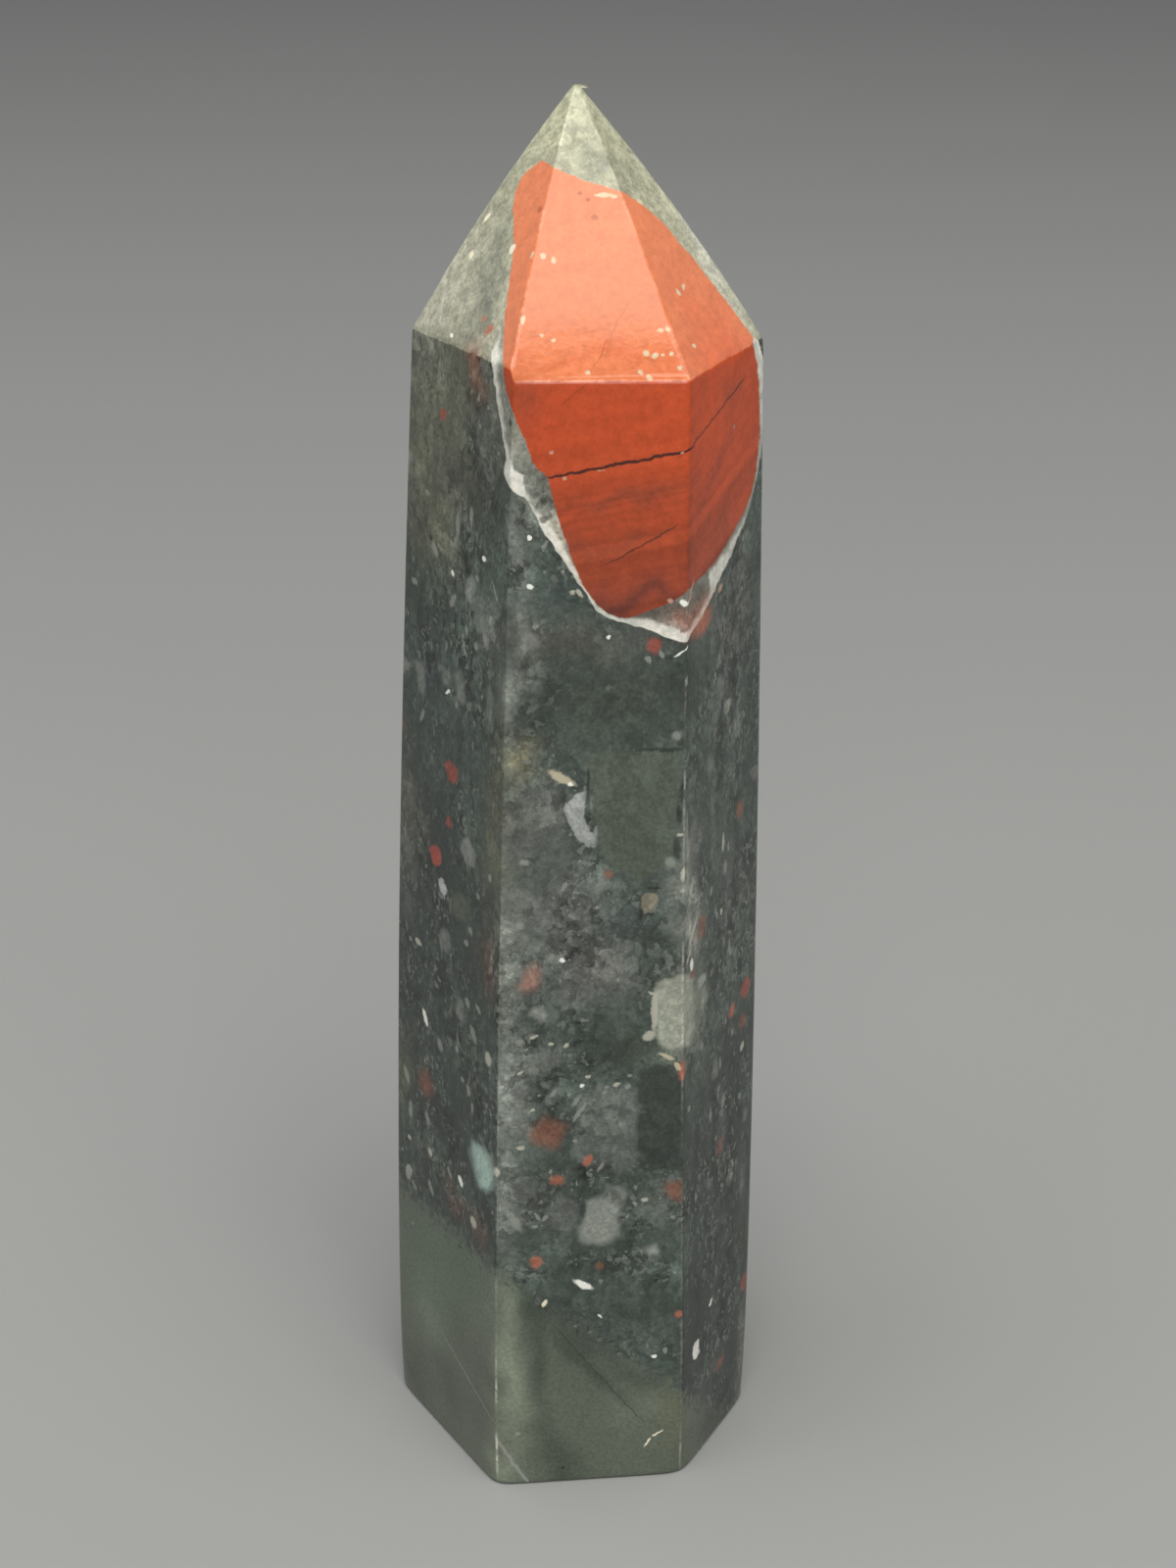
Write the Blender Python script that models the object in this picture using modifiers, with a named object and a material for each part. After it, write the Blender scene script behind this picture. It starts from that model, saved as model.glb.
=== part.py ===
"""Polished bloodstone tower: one stone, a six-sided prism that is ground to a six-sided point.

The six sides are planes that lean in towards the axis, and each facet of the point is a plane
through the tip and two corners on the prism's long edges. The grinding wheel leaves every face a
little rounded along its height, so a face is cut as a run of flats that follow a sine curve.
Metres, +Z up, the middle of the flat base at the origin, the broad front face towards -Y.
"""
import math

import bmesh
import bpy
from mathutils import Vector

HEIGHT = 0.0900                 # base to tip, before the tip is blunted
SHOULDER_HEIGHT = 0.0757        # base to the level where the sides turn into the point
TIP_PLACE = (-0.0005, 0.00015)  # the tip stands a little to the left of the axis
BLANK_WIDTH = 0.0300            # the sawn block that the tower is ground from
BLANK_HEIGHT = 1.1 * HEIGHT
EDGE_ROUNDING = 0.00018         # how far the polish eats into the faces beside each edge
ROUNDING_STEPS = 3
UNROUNDED_CREASE = 15.0         # degrees: flats of one face meet at less than this
FLATS_ALONG_SIDE = 6
FLATS_ALONG_FACET = 4
SNAP = 2e-7                     # a corner this close to a cut counts as lying on it
WELD = 5e-5                     # corners closer than this become one

# Sides, in order round the stone as seen from outside, left to right: the direction that the side
# looks in (degrees from the front, towards +X), the distance of its foot from the axis, how many
# degrees it leans in, and how far its middle bulges.
SIDES = (
    ("left back", -117.9, 0.01094, 1.65, 0.00022),
    ("left", -56.8, 0.01027, 1.50, 0.00047),
    ("front", 6.2, 0.01014, 0.90, 0.00035),
    ("right", 61.0, 0.01092, 1.30, 0.00004),
    ("right back", 120.5, 0.00988, 0.65, 0.00033),
    ("back", 181.5, 0.01051, 1.25, 0.00035),
)

# The facet above each side: the heights at which its plane meets the long edges on its left and on
# its right, and how far its middle bulges. The left facet is ground less deep than the front one
# where they meet, which leaves a short extra edge at that corner.
FACETS = (
    ("left back", 0.07595, 0.07578, 0.00025),
    ("left", 0.07578, 0.07606, 0.00031),
    ("front", 0.07553, 0.07536, 0.00031),
    ("right", 0.07536, 0.07552, 0.00024),
    ("right back", 0.07552, 0.07575, 0.00030),
    ("back", 0.07575, 0.07595, 0.00030),
)

STONE_COLOUR = (0.075, 0.090, 0.078, 1.0)
POLISH_ROUGHNESS = 0.12


def clear_scene():
    """Remove every object that is already in the scene."""
    for item in list(bpy.data.objects):
        bpy.data.objects.remove(item, do_unlink=True)


def side_plane(side):
    """The foot point and the outward normal of one side."""
    _, azimuth, foot_distance, lean, _ = SIDES[side % len(SIDES)]
    angle = math.radians(azimuth)
    tilt = math.radians(lean)
    outward = Vector((math.sin(angle), -math.cos(angle), 0.0))
    return outward * foot_distance, outward * math.cos(tilt) + Vector((0.0, 0.0, math.sin(tilt)))


def long_edge_point(side, height):
    """The point at a height on the long edge between a side and the one before it."""
    foot_a, normal_a = side_plane(side - 1)
    foot_b, normal_b = side_plane(side)
    reach_a = normal_a.dot(foot_a) - normal_a.z * height
    reach_b = normal_b.dot(foot_b) - normal_b.z * height
    area = normal_a.x * normal_b.y - normal_a.y * normal_b.x
    x = (reach_a * normal_b.y - reach_b * normal_a.y) / area
    y = (reach_b * normal_a.x - reach_a * normal_b.x) / area
    return Vector((x, y, height))


def facet_plane(side):
    """The tip and the outward normal of the facet above one side."""
    _, left_height, right_height, _ = FACETS[side]
    tip = Vector((*TIP_PLACE, HEIGHT))
    left_corner = long_edge_point(side, left_height)
    right_corner = long_edge_point(side + 1, right_height)
    return tip, (right_corner - left_corner).cross(tip - left_corner).normalized()


def saw_block(stone):
    """The rough block, with its bottom already flat on z = 0 and its top above the tip."""
    bmesh.ops.create_cube(stone, size=1.0)
    bmesh.ops.scale(stone, vec=(BLANK_WIDTH, BLANK_WIDTH, BLANK_HEIGHT), verts=stone.verts)
    bmesh.ops.translate(stone, vec=(0.0, 0.0, BLANK_HEIGHT / 2), verts=stone.verts)


def grind_flat(stone, point, normal):
    """Take away all that is outside a plane, and close the cut with one face."""
    everything = stone.verts[:] + stone.edges[:] + stone.faces[:]
    cut = bmesh.ops.bisect_plane(
        stone, geom=everything, dist=SNAP, plane_co=point, plane_no=normal, clear_outer=True
    )
    rim = [item for item in cut["geom_cut"] if isinstance(item, bmesh.types.BMEdge)]
    if len(rim) > 2:
        bmesh.ops.holes_fill(stone, edges=rim, sides=0)


def grind_face(stone, plane, bulge, low, high, flats):
    """Grind one face, between two heights, as flats that touch a sine-shaped bulge.

    At a share s of the way up, the bulge stands bulge * sin(pi * s) proud of the face's plane, and
    the flat that touches it there leans with the slope of that curve.
    """
    start, normal = plane
    outward = Vector((normal.x, normal.y, 0.0)).normalized()
    cosine = normal.dot(outward)
    span = high - low
    for step in range(flats):
        share = (step + 0.5) / flats
        height = low + share * span
        proud = bulge * math.sin(math.pi * share)
        slope = bulge * math.pi * math.cos(math.pi * share) / span
        reach = start.dot(outward) + (proud - normal.z * (height - start.z)) / cosine
        flat_normal = normal - Vector((0.0, 0.0, slope))
        grind_flat(stone, outward * reach + Vector((0.0, 0.0, height)), flat_normal.normalized())


def round_edges(tower):
    """Soften every real edge, and leave the faint creases between the flats of one face."""
    rounding = tower.modifiers.new("polished edges", "BEVEL")
    rounding.width = EDGE_ROUNDING
    rounding.segments = ROUNDING_STEPS
    rounding.limit_method = "ANGLE"
    rounding.angle_limit = math.radians(UNROUNDED_CREASE)


def polished_bloodstone():
    """Dark green jasper with a glassy polish."""
    material = bpy.data.materials.new("polished_bloodstone")
    material.use_nodes = True
    shader = material.node_tree.nodes["Principled BSDF"]
    shader.inputs["Base Color"].default_value = STONE_COLOUR
    shader.inputs["Roughness"].default_value = POLISH_ROUGHNESS
    shader.inputs["Metallic"].default_value = 0.0
    material.diffuse_color = STONE_COLOUR
    return material


def build_tower(collection):
    """Grind the block to the tower, weld the corners that several cuts made, round the edges."""
    stone = bmesh.new()
    saw_block(stone)
    for side in range(len(SIDES)):
        grind_face(stone, side_plane(side), SIDES[side][4], 0.0, SHOULDER_HEIGHT, FLATS_ALONG_SIDE)
    for side in range(len(FACETS)):
        grind_face(
            stone, facet_plane(side), FACETS[side][3], SHOULDER_HEIGHT, HEIGHT, FLATS_ALONG_FACET
        )
    bmesh.ops.remove_doubles(stone, verts=stone.verts, dist=WELD)
    bmesh.ops.recalc_face_normals(stone, faces=stone.faces)

    mesh = bpy.data.meshes.new("bloodstone_tower")
    stone.to_mesh(mesh)
    stone.free()
    mesh.materials.append(polished_bloodstone())
    mesh.shade_smooth()
    mesh.set_sharp_from_angle(angle=math.radians(UNROUNDED_CREASE))
    tower = bpy.data.objects.new("bloodstone_tower", mesh)
    collection.objects.link(tower)
    round_edges(tower)


def main():
    clear_scene()
    collection = bpy.data.collections.new("bloodstone_tower")
    bpy.context.scene.collection.children.link(collection)
    build_tower(collection)


main()
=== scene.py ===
"""Looks of the bloodstone tower: its polished skin, its markings, a pale floor and soft light.

The skin is one closed surface worked out from the planes that the stone is ground to. Large markings
are signed distances, worked out for every point of the skin and kept as attributes of the mesh; the
small ones and the grain of the stone are nodes on Object coordinates. The places of the markings
were read off the photo, as pixels of its 1200 x 1600 frame. Metres, in the part's frame.
"""
import math

import bpy
import numpy as np
from mathutils import Matrix


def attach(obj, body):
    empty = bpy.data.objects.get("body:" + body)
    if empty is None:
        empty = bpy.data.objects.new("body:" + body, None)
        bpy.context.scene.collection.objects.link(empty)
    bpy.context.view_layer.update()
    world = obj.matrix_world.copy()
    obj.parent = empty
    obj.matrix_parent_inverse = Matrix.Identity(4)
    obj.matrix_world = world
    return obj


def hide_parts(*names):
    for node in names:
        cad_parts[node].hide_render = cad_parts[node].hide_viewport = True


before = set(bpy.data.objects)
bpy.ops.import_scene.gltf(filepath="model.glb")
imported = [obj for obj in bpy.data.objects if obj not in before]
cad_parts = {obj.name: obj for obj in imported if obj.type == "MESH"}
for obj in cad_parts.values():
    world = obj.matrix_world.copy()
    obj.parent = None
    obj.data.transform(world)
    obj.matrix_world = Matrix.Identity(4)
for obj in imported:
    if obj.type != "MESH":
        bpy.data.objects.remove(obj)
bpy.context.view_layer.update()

MM = 0.001

# The stone, as it is ground. Sides: the direction that each looks in (degrees from the front,
# towards +X), the distance of its foot from the axis, its lean (degrees) and its bulge.
HEIGHT = 0.0900
SHOULDER_HEIGHT = 0.0757
TIP_PLACE = np.array([-0.0005, 0.00015])
SIDES = (
    ("left back", -117.9, 0.01094, 1.65, 0.00022),
    ("left", -56.8, 0.01027, 1.50, 0.00047),
    ("front", 6.2, 0.01014, 0.90, 0.00035),
    ("right", 61.0, 0.01092, 1.30, 0.00004),
    ("right back", 120.5, 0.00988, 0.65, 0.00033),
    ("back", 181.5, 0.01051, 1.25, 0.00035),
)
# Facets: the heights at which each meets the long edges on its left and right, and its bulge.
FACETS = (
    ("left back", 0.07595, 0.07578, 0.00025),
    ("left", 0.07578, 0.07606, 0.00031),
    ("front", 0.07553, 0.07536, 0.00031),
    ("right", 0.07536, 0.07552, 0.00024),
    ("right back", 0.07552, 0.07575, 0.00030),
    ("back", 0.07575, 0.07595, 0.00030),
)
FACES = len(SIDES)
EDGE_SOFTNESS = np.array([0.05, 0.05, 0.04, 0.045, 0.11, 0.05]) * MM  # edge on each side's left
FOOT_SOFTNESS = 0.36 * MM       # what wear adds to the softness of the long edges at the foot
FOOT_WEAR_HEIGHT = 5.0 * MM
TIP_SOFTNESS = 0.05 * MM
TIP_WEAR_HEIGHT = 0.8 * MM
TIP_DROP = TIP_SOFTNESS * 6.0   # how far the blunt tip stands below the sharp one
BASE_ROUNDING = 0.30 * MM
POLISH_RIPPLE = 0.004 * MM      # height of the faint waves that hand polishing leaves
RIPPLE_RISE = 2.1 * MM          # height in which a wave turns by one radian
RIPPLE_SLANT = 3.7 * MM         # height in which it shifts by one radian round the stone
RIPPLES_ROUND = 3.0
RIPPLE_FREE = 2.0 * MM          # nearer to the axis than this there are none

COLUMNS_PER_FACE = 50
COLUMN_CROWDING = 0.7           # 0 spaces the columns evenly, 1 crowds them fully at the edges
ROWS = 270
ROW_CANDIDATES = 4001           # evenly spaced heights that the rows are picked from
# How much closer the rows stand there than elsewhere, and within what height of it.
BASE_CROWDING = (2.0, 2.0 * MM)
SHOULDER_CROWDING = (5.0, 0.6 * MM)
TIP_CROWDING = (6.0, 0.5 * MM)
BASE_RINGS = 8
ROUNDING_RINGS = 6
NEWTON_STEPS = 12
SIGHT_STEPS = 4
LEAST_SLOPE = 1e-6              # a face that turns less than this towards a direction is never met

# The camera, fitted to the corners and edges of the stone in the 1200 x 1600 photo frame.
CAMERA_PLACE = np.array([0.0, -0.1450, 0.1162])
CAMERA_PITCH = 25.58            # degrees below level
CAMERA_YAW = 0.21
CAMERA_ROLL = 0.55
LENS = 59.0
SENSOR = 36.0
FRAME_SIZE = np.array([1200.0, 1600.0])
FOCAL = LENS / SENSOR * FRAME_SIZE[1]


# Planes of the faces

def side_planes():
    """Outward normals of the six sides and their distances from the origin."""
    azimuth, foot, lean = np.array([side[1:4] for side in SIDES]).T
    angle, tilt = np.radians(azimuth), np.radians(lean)
    normals = np.stack(
        [np.sin(angle) * np.cos(tilt), -np.cos(angle) * np.cos(tilt), np.sin(tilt)], axis=1
    )
    return normals, foot * np.cos(tilt)


def facet_planes(side_normals, side_distances):
    """Each facet's plane runs through the tip and a point on the long edge at either side of it."""
    tip = np.array([*TIP_PLACE, HEIGHT])

    def edge_point(side, height):
        pair = [(side - 1) % FACES, side % FACES]
        flat = side_distances[pair] - side_normals[pair, 2] * height
        return np.array([*np.linalg.solve(side_normals[pair, :2], flat), height])

    normals = []
    for side, (_, left_height, right_height, _) in enumerate(FACETS):
        left = edge_point(side, left_height)
        across = edge_point(side + 1, right_height) - left
        normal = np.cross(across, tip - left)
        normals.append(normal / np.linalg.norm(normal))
    normals = np.array(normals)
    return normals, normals @ tip


side_normals, side_distances = side_planes()
facet_normals, facet_distances = facet_planes(side_normals, side_distances)
face_normals = np.concatenate([side_normals, facet_normals])
face_distances = np.concatenate([side_distances, facet_distances])
face_bulges = np.array([side[4] for side in SIDES] + [facet[3] for facet in FACETS])
face_lows = np.repeat([0.0, SHOULDER_HEIGHT], FACES)
face_highs = np.repeat([SHOULDER_HEIGHT, HEIGHT], FACES)


def reach_at(height):
    """How far out each face stands at a height: its plane plus a bulge of one half sine wave.

    Takes an array of heights and gives an array with one more axis, the twelve faces, at the end.
    """
    height = np.asarray(height)[..., None]
    share = np.clip((height - face_lows) / (face_highs - face_lows), 0.0, 1.0)
    proud = face_bulges * np.sin(np.pi * share)
    return face_distances + proud - face_normals[:, 2] * height


# Sight lines of the camera

def camera_axes():
    """Right, up and forward directions of the camera."""
    pitch, yaw, roll = np.radians([CAMERA_PITCH, CAMERA_YAW, CAMERA_ROLL])
    forward = np.array(
        [np.sin(yaw) * np.cos(pitch), np.cos(yaw) * np.cos(pitch), -np.sin(pitch)]
    )
    level = np.array([np.cos(yaw), -np.sin(yaw), 0.0])
    upright = np.cross(level, forward)
    right = math.cos(roll) * level + math.sin(roll) * upright
    up = math.cos(roll) * upright - math.sin(roll) * level
    return right, up, forward


camera_right, camera_up, camera_forward = camera_axes()


def in_photo(places):
    """Photo pixels at which places on the stone appear, seen or not, and millimetres per pixel."""
    offsets = places - CAMERA_PLACE
    depth = offsets @ camera_forward
    x = FRAME_SIZE[0] / 2 + FOCAL * (offsets @ camera_right) / depth
    y = FRAME_SIZE[1] / 2 - FOCAL * (offsets @ camera_up) / depth
    return np.stack([x, y], axis=-1), depth / FOCAL / MM


def on_stone(x, y):
    """The place where the sight line of a photo pixel meets the stone, and the face it is on."""
    ray = (
        camera_forward
        + (x - FRAME_SIZE[0] / 2) / FOCAL * camera_right
        - (y - FRAME_SIZE[1] / 2) / FOCAL * camera_up
    )
    facing = face_normals @ ray < 0.0
    height = HEIGHT / 2
    for _ in range(SIGHT_STEPS):
        reach = reach_at(height) + face_normals[:, 2] * height
        travel = (reach - face_normals @ CAMERA_PLACE) / (face_normals @ ray)
        face = int(np.argmax(np.where(facing, travel, -np.inf)))
        place = CAMERA_PLACE + ray * travel[face]
        height = place[2]
    return place, face


# The skin

def corner_directions(heights, axis):
    """Angle round the axis of the six corners of the stone's section at each height.

    At a corner the side or the facet on its left meets the side or the facet on its right. The
    pair that meets is the one whose crossing point lies inside the other two faces.
    """
    reach = reach_at(heights)
    angles = []
    for corner in range(FACES):
        lefts = ((corner - 1) % FACES, (corner - 1) % FACES + FACES)
        rights = (corner, corner + FACES)
        four = [*lefts, *rights]
        candidates, excess = [], []
        for a in lefts:
            for b in rights:
                (ax, ay), (bx, by) = face_normals[a, :2], face_normals[b, :2]
                area = ax * by - ay * bx
                point = np.stack(
                    [
                        (reach[:, a] * by - reach[:, b] * ay) / area,
                        (reach[:, b] * ax - reach[:, a] * bx) / area,
                    ],
                    axis=1,
                )
                candidates.append(point)
                excess.append((point @ face_normals[four, :2].T - reach[:, four]).max(axis=1))
        best = np.argmin(excess, axis=0)
        point = np.array(candidates)[best, np.arange(len(heights))] - axis
        angles.append(np.arctan2(point[:, 0], -point[:, 1]))
    return np.unwrap(np.array(angles), axis=0)


def section_radius(direction, axis, reach, softness):
    """Distance from the axis to the skin, along each direction.

    The skin is where s * log(sum over the faces of exp(h / s)) = 0, h being the height of a place
    above each face and s the softness: the faces' planes, with their edges rounded. It is found
    by Newton's method, starting from the sharp edge.

    Known fault: in the two rows under the tip there is no such place towards the right back edge,
    the softest one. There 7 points end too far out, by up to 0.8 mm, and make a thin lip to the
    right, and about 35 end on the axis.
    """
    slope = direction @ face_normals[:, :2].T
    gap = reach - (axis @ face_normals[:, :2].T)[:, None, :]
    ahead = slope > LEAST_SLOPE
    radius = np.where(ahead, gap / np.where(ahead, slope, 1.0), np.inf).min(axis=2)
    for _ in range(NEWTON_STEPS):
        above = slope * radius[..., None] - gap
        highest = above.max(axis=2, keepdims=True)
        weight = np.exp((above - highest) / softness[..., None])
        total = weight.sum(axis=2)
        value = highest[..., 0] + softness * np.log(total)
        radius = radius - value * total / (weight * slope).sum(axis=2)
    return np.maximum(radius, 0.0)


def row_heights(tip):
    """Heights of the rows between the base's rounding and the tip, crowded where the form turns."""
    fine = np.linspace(BASE_ROUNDING, tip, ROW_CANDIDATES)
    (at_base, base_span), (at_shoulder, shoulder_span) = BASE_CROWDING, SHOULDER_CROWDING
    at_tip, tip_span = TIP_CROWDING
    crowding = (
        1.0
        + at_base * np.exp(-((fine - BASE_ROUNDING) / base_span) ** 2)
        + at_shoulder * np.exp(-(((fine - SHOULDER_HEIGHT) / shoulder_span) ** 4))
        + at_tip * np.exp(-(tip - fine) / tip_span)
    )
    steps = np.concatenate([[0.0], np.cumsum((crowding[1:] + crowding[:-1]) / 2)])
    return np.interp(np.linspace(0.0, steps[-1], ROWS), steps, fine)[:-1]


def skin_points():
    """Points of the skin on a grid of rows (up) and columns (round), and the pole at either end.

    A row is the stone's section at one height. The lowest rows follow the rounding of the base
    edge, a quarter circle by which every face is set in, and go on to the middle of the base. The
    ripple of the polish is the product of a sine of the height and a sine of the angle and height.
    """
    heights = row_heights(HEIGHT - TIP_DROP)
    turn = np.linspace(0.0, np.pi / 2, ROUNDING_RINGS, endpoint=False)
    rounding_heights = BASE_ROUNDING * (1.0 - np.cos(turn))
    set_in = BASE_ROUNDING * (1.0 - np.sin(turn))
    heights = np.concatenate([rounding_heights, heights])
    set_in = np.concatenate([set_in, np.zeros(len(heights) - len(set_in))])

    axis = heights[:, None] / HEIGHT * TIP_PLACE
    corners = corner_directions(heights, axis)
    step = np.arange(COLUMNS_PER_FACE) / COLUMNS_PER_FACE
    share = step - COLUMN_CROWDING * np.sin(2 * np.pi * step) / (2 * np.pi)
    following = np.concatenate([corners[1:], corners[:1] + 2 * np.pi])
    angle = corners.T[:, :, None] + (following - corners).T[:, :, None] * share
    angle = angle.reshape(len(heights), -1)
    direction = np.stack([np.sin(angle), -np.cos(angle)], axis=2)

    column = np.arange(FACES * COLUMNS_PER_FACE)
    nearest_edge = (column / COLUMNS_PER_FACE + 0.5).astype(int) % FACES
    worn_foot = FOOT_SOFTNESS * np.exp(-heights / FOOT_WEAR_HEIGHT)
    worn_tip = TIP_SOFTNESS * np.exp(-(HEIGHT - heights) / TIP_WEAR_HEIGHT)
    softness = EDGE_SOFTNESS[nearest_edge][None, :] + (worn_foot + worn_tip)[:, None]
    reach = reach_at(heights)[:, None, :] - set_in[:, None, None]
    radius = section_radius(direction, axis, reach, softness)

    slanted = RIPPLES_ROUND * angle + heights[:, None] / RIPPLE_SLANT
    wave = np.sin(heights / RIPPLE_RISE)[:, None] * np.sin(slanted)
    radius = radius + POLISH_RIPPLE * wave * (radius > RIPPLE_FREE)
    rows = np.concatenate(
        [
            axis[:, None, :] + direction * radius[..., None],
            np.broadcast_to(heights[:, None, None], (*radius.shape, 1)),
        ],
        axis=2,
    )
    inward = np.linspace(0.0, 1.0, BASE_RINGS + 1)[1:, None, None]
    base = rows[0] * np.where([True, True, False], inward, 1.0)
    rows = np.concatenate([base[:-1], rows])
    return rows, np.array([0.0, 0.0, 0.0]), np.array([*TIP_PLACE, HEIGHT - TIP_DROP])


def skin_mesh():
    """The closed mesh of the skin: quads between rows, triangles round the two poles."""
    rows, bottom, top = skin_points()
    count, columns = rows.shape[:2]
    places = np.concatenate([rows.reshape(-1, 3), [bottom, top]])
    here = np.arange(columns)
    beyond = (here + 1) % columns
    row = np.arange(count - 1)[:, None] * columns
    quads = np.stack([row + here, row + beyond, row + columns + beyond, row + columns + here], axis=2)
    low_fan = np.stack([np.full(columns, count * columns), beyond, here], axis=1)
    last = (count - 1) * columns
    high_fan = np.stack([last + here, last + beyond, np.full(columns, count * columns + 1)], axis=1)
    mesh = bpy.data.meshes.new("polished_tower")
    mesh.from_pydata(
        places.tolist(), [], quads.reshape(-1, 4).tolist() + low_fan.tolist() + high_fan.tolist()
    )
    mesh.shade_smooth()
    mesh.update()
    return mesh, places


# Large markings: distances in millimetres, negative inside, and colours, kept as attributes

# Tints of the stone's parts, linear red, green and blue.
TINTS = {
    "ground": (0.041, 0.053, 0.045), "dark": (0.026, 0.031, 0.027), "blue": (0.03, 0.038, 0.037),
    "green": (0.031, 0.038, 0.029), "grey": (0.125, 0.132, 0.118), "smoke": (0.19, 0.203, 0.18),
    "brown": (0.086, 0.074, 0.058), "purple": (0.09, 0.086, 0.08), "grit": (0.084, 0.09, 0.082),
    "ochre": (0.19, 0.155, 0.08), "olive": (0.06, 0.07, 0.053), "moss": (0.09, 0.094, 0.056),
    "block": (0.235, 0.248, 0.2), "lavender": (0.262, 0.274, 0.264), "aqua": (0.29, 0.39, 0.345),
    "rust": (0.15, 0.06, 0.038), "red": (0.235, 0.05, 0.036), "orange": (0.3, 0.095, 0.055),
    "salmon": (0.23, 0.11, 0.085), "beige": (0.15, 0.14, 0.105), "sand": (0.33, 0.3, 0.21),
    "cream": (0.56, 0.51, 0.39), "white": (0.6, 0.6, 0.55), "black": (0.012, 0.013, 0.012),
    # The facets' tint is paler than the sides' and paler still towards the tip: partly the stone's tone,
    # partly a painted sheen, and at the tip a painted glow of light through the thin stone.
    "milk": (0.33, 0.325, 0.27), "point": (0.24, 0.236, 0.176), "tip": (0.265, 0.265, 0.18),
    "murk": (0.1, 0.102, 0.07), "foot": (0.075, 0.086, 0.066), "leek": (0.062, 0.092, 0.062),
    "light foot": (0.165, 0.19, 0.14), "dark foot": (0.032, 0.041, 0.031), "rim": (0.16, 0.165, 0.142),
    "rim green": (0.105, 0.114, 0.096), "rim brown": (0.064, 0.054, 0.044),
    "rim white": (0.56, 0.545, 0.49), "flesh": (0.42, 0.25, 0.18), "tan": (0.36, 0.28, 0.2),
    "many": (1, 1, 1), "few": (0.08, 0.08, 0.08), "jasper": (0.335, 0.047, 0.012),
    "jasper low": (0.17, 0.037, 0.017), "jasper light": (0.47, 0.064, 0.016),
    # The facets' jasper, paler and more orange than the body's: a painted sheen.
    "jasper with painted sheen": (0.455, 0.128, 0.052), "fleck": (0.42, 0.36, 0.24),
    "jasper dark": (0.085, 0.022, 0.016), "healed crack": (0.07, 0.018, 0.01),
    # The edges' lightened tint: partly wear, partly a painted highlight.
    "open crack": (0.028, 0.009, 0.006), "worn_and_glinting": (0.56, 0.54, 0.46),
}
# How light each side is painted, high up and at the foot: partly the stone's own tone, partly painted
# shade that makes the sides other than the front and the back darker towards the foot.
SIDE_TONE_AND_SHADE = (0.90, 0.92, 1.10, 1.12, 0.90, 1.08)
FOOT_TONE_AND_SHADE = (0.66, 0.56, 1.12, 0.56, 0.66, 1.02)

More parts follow.
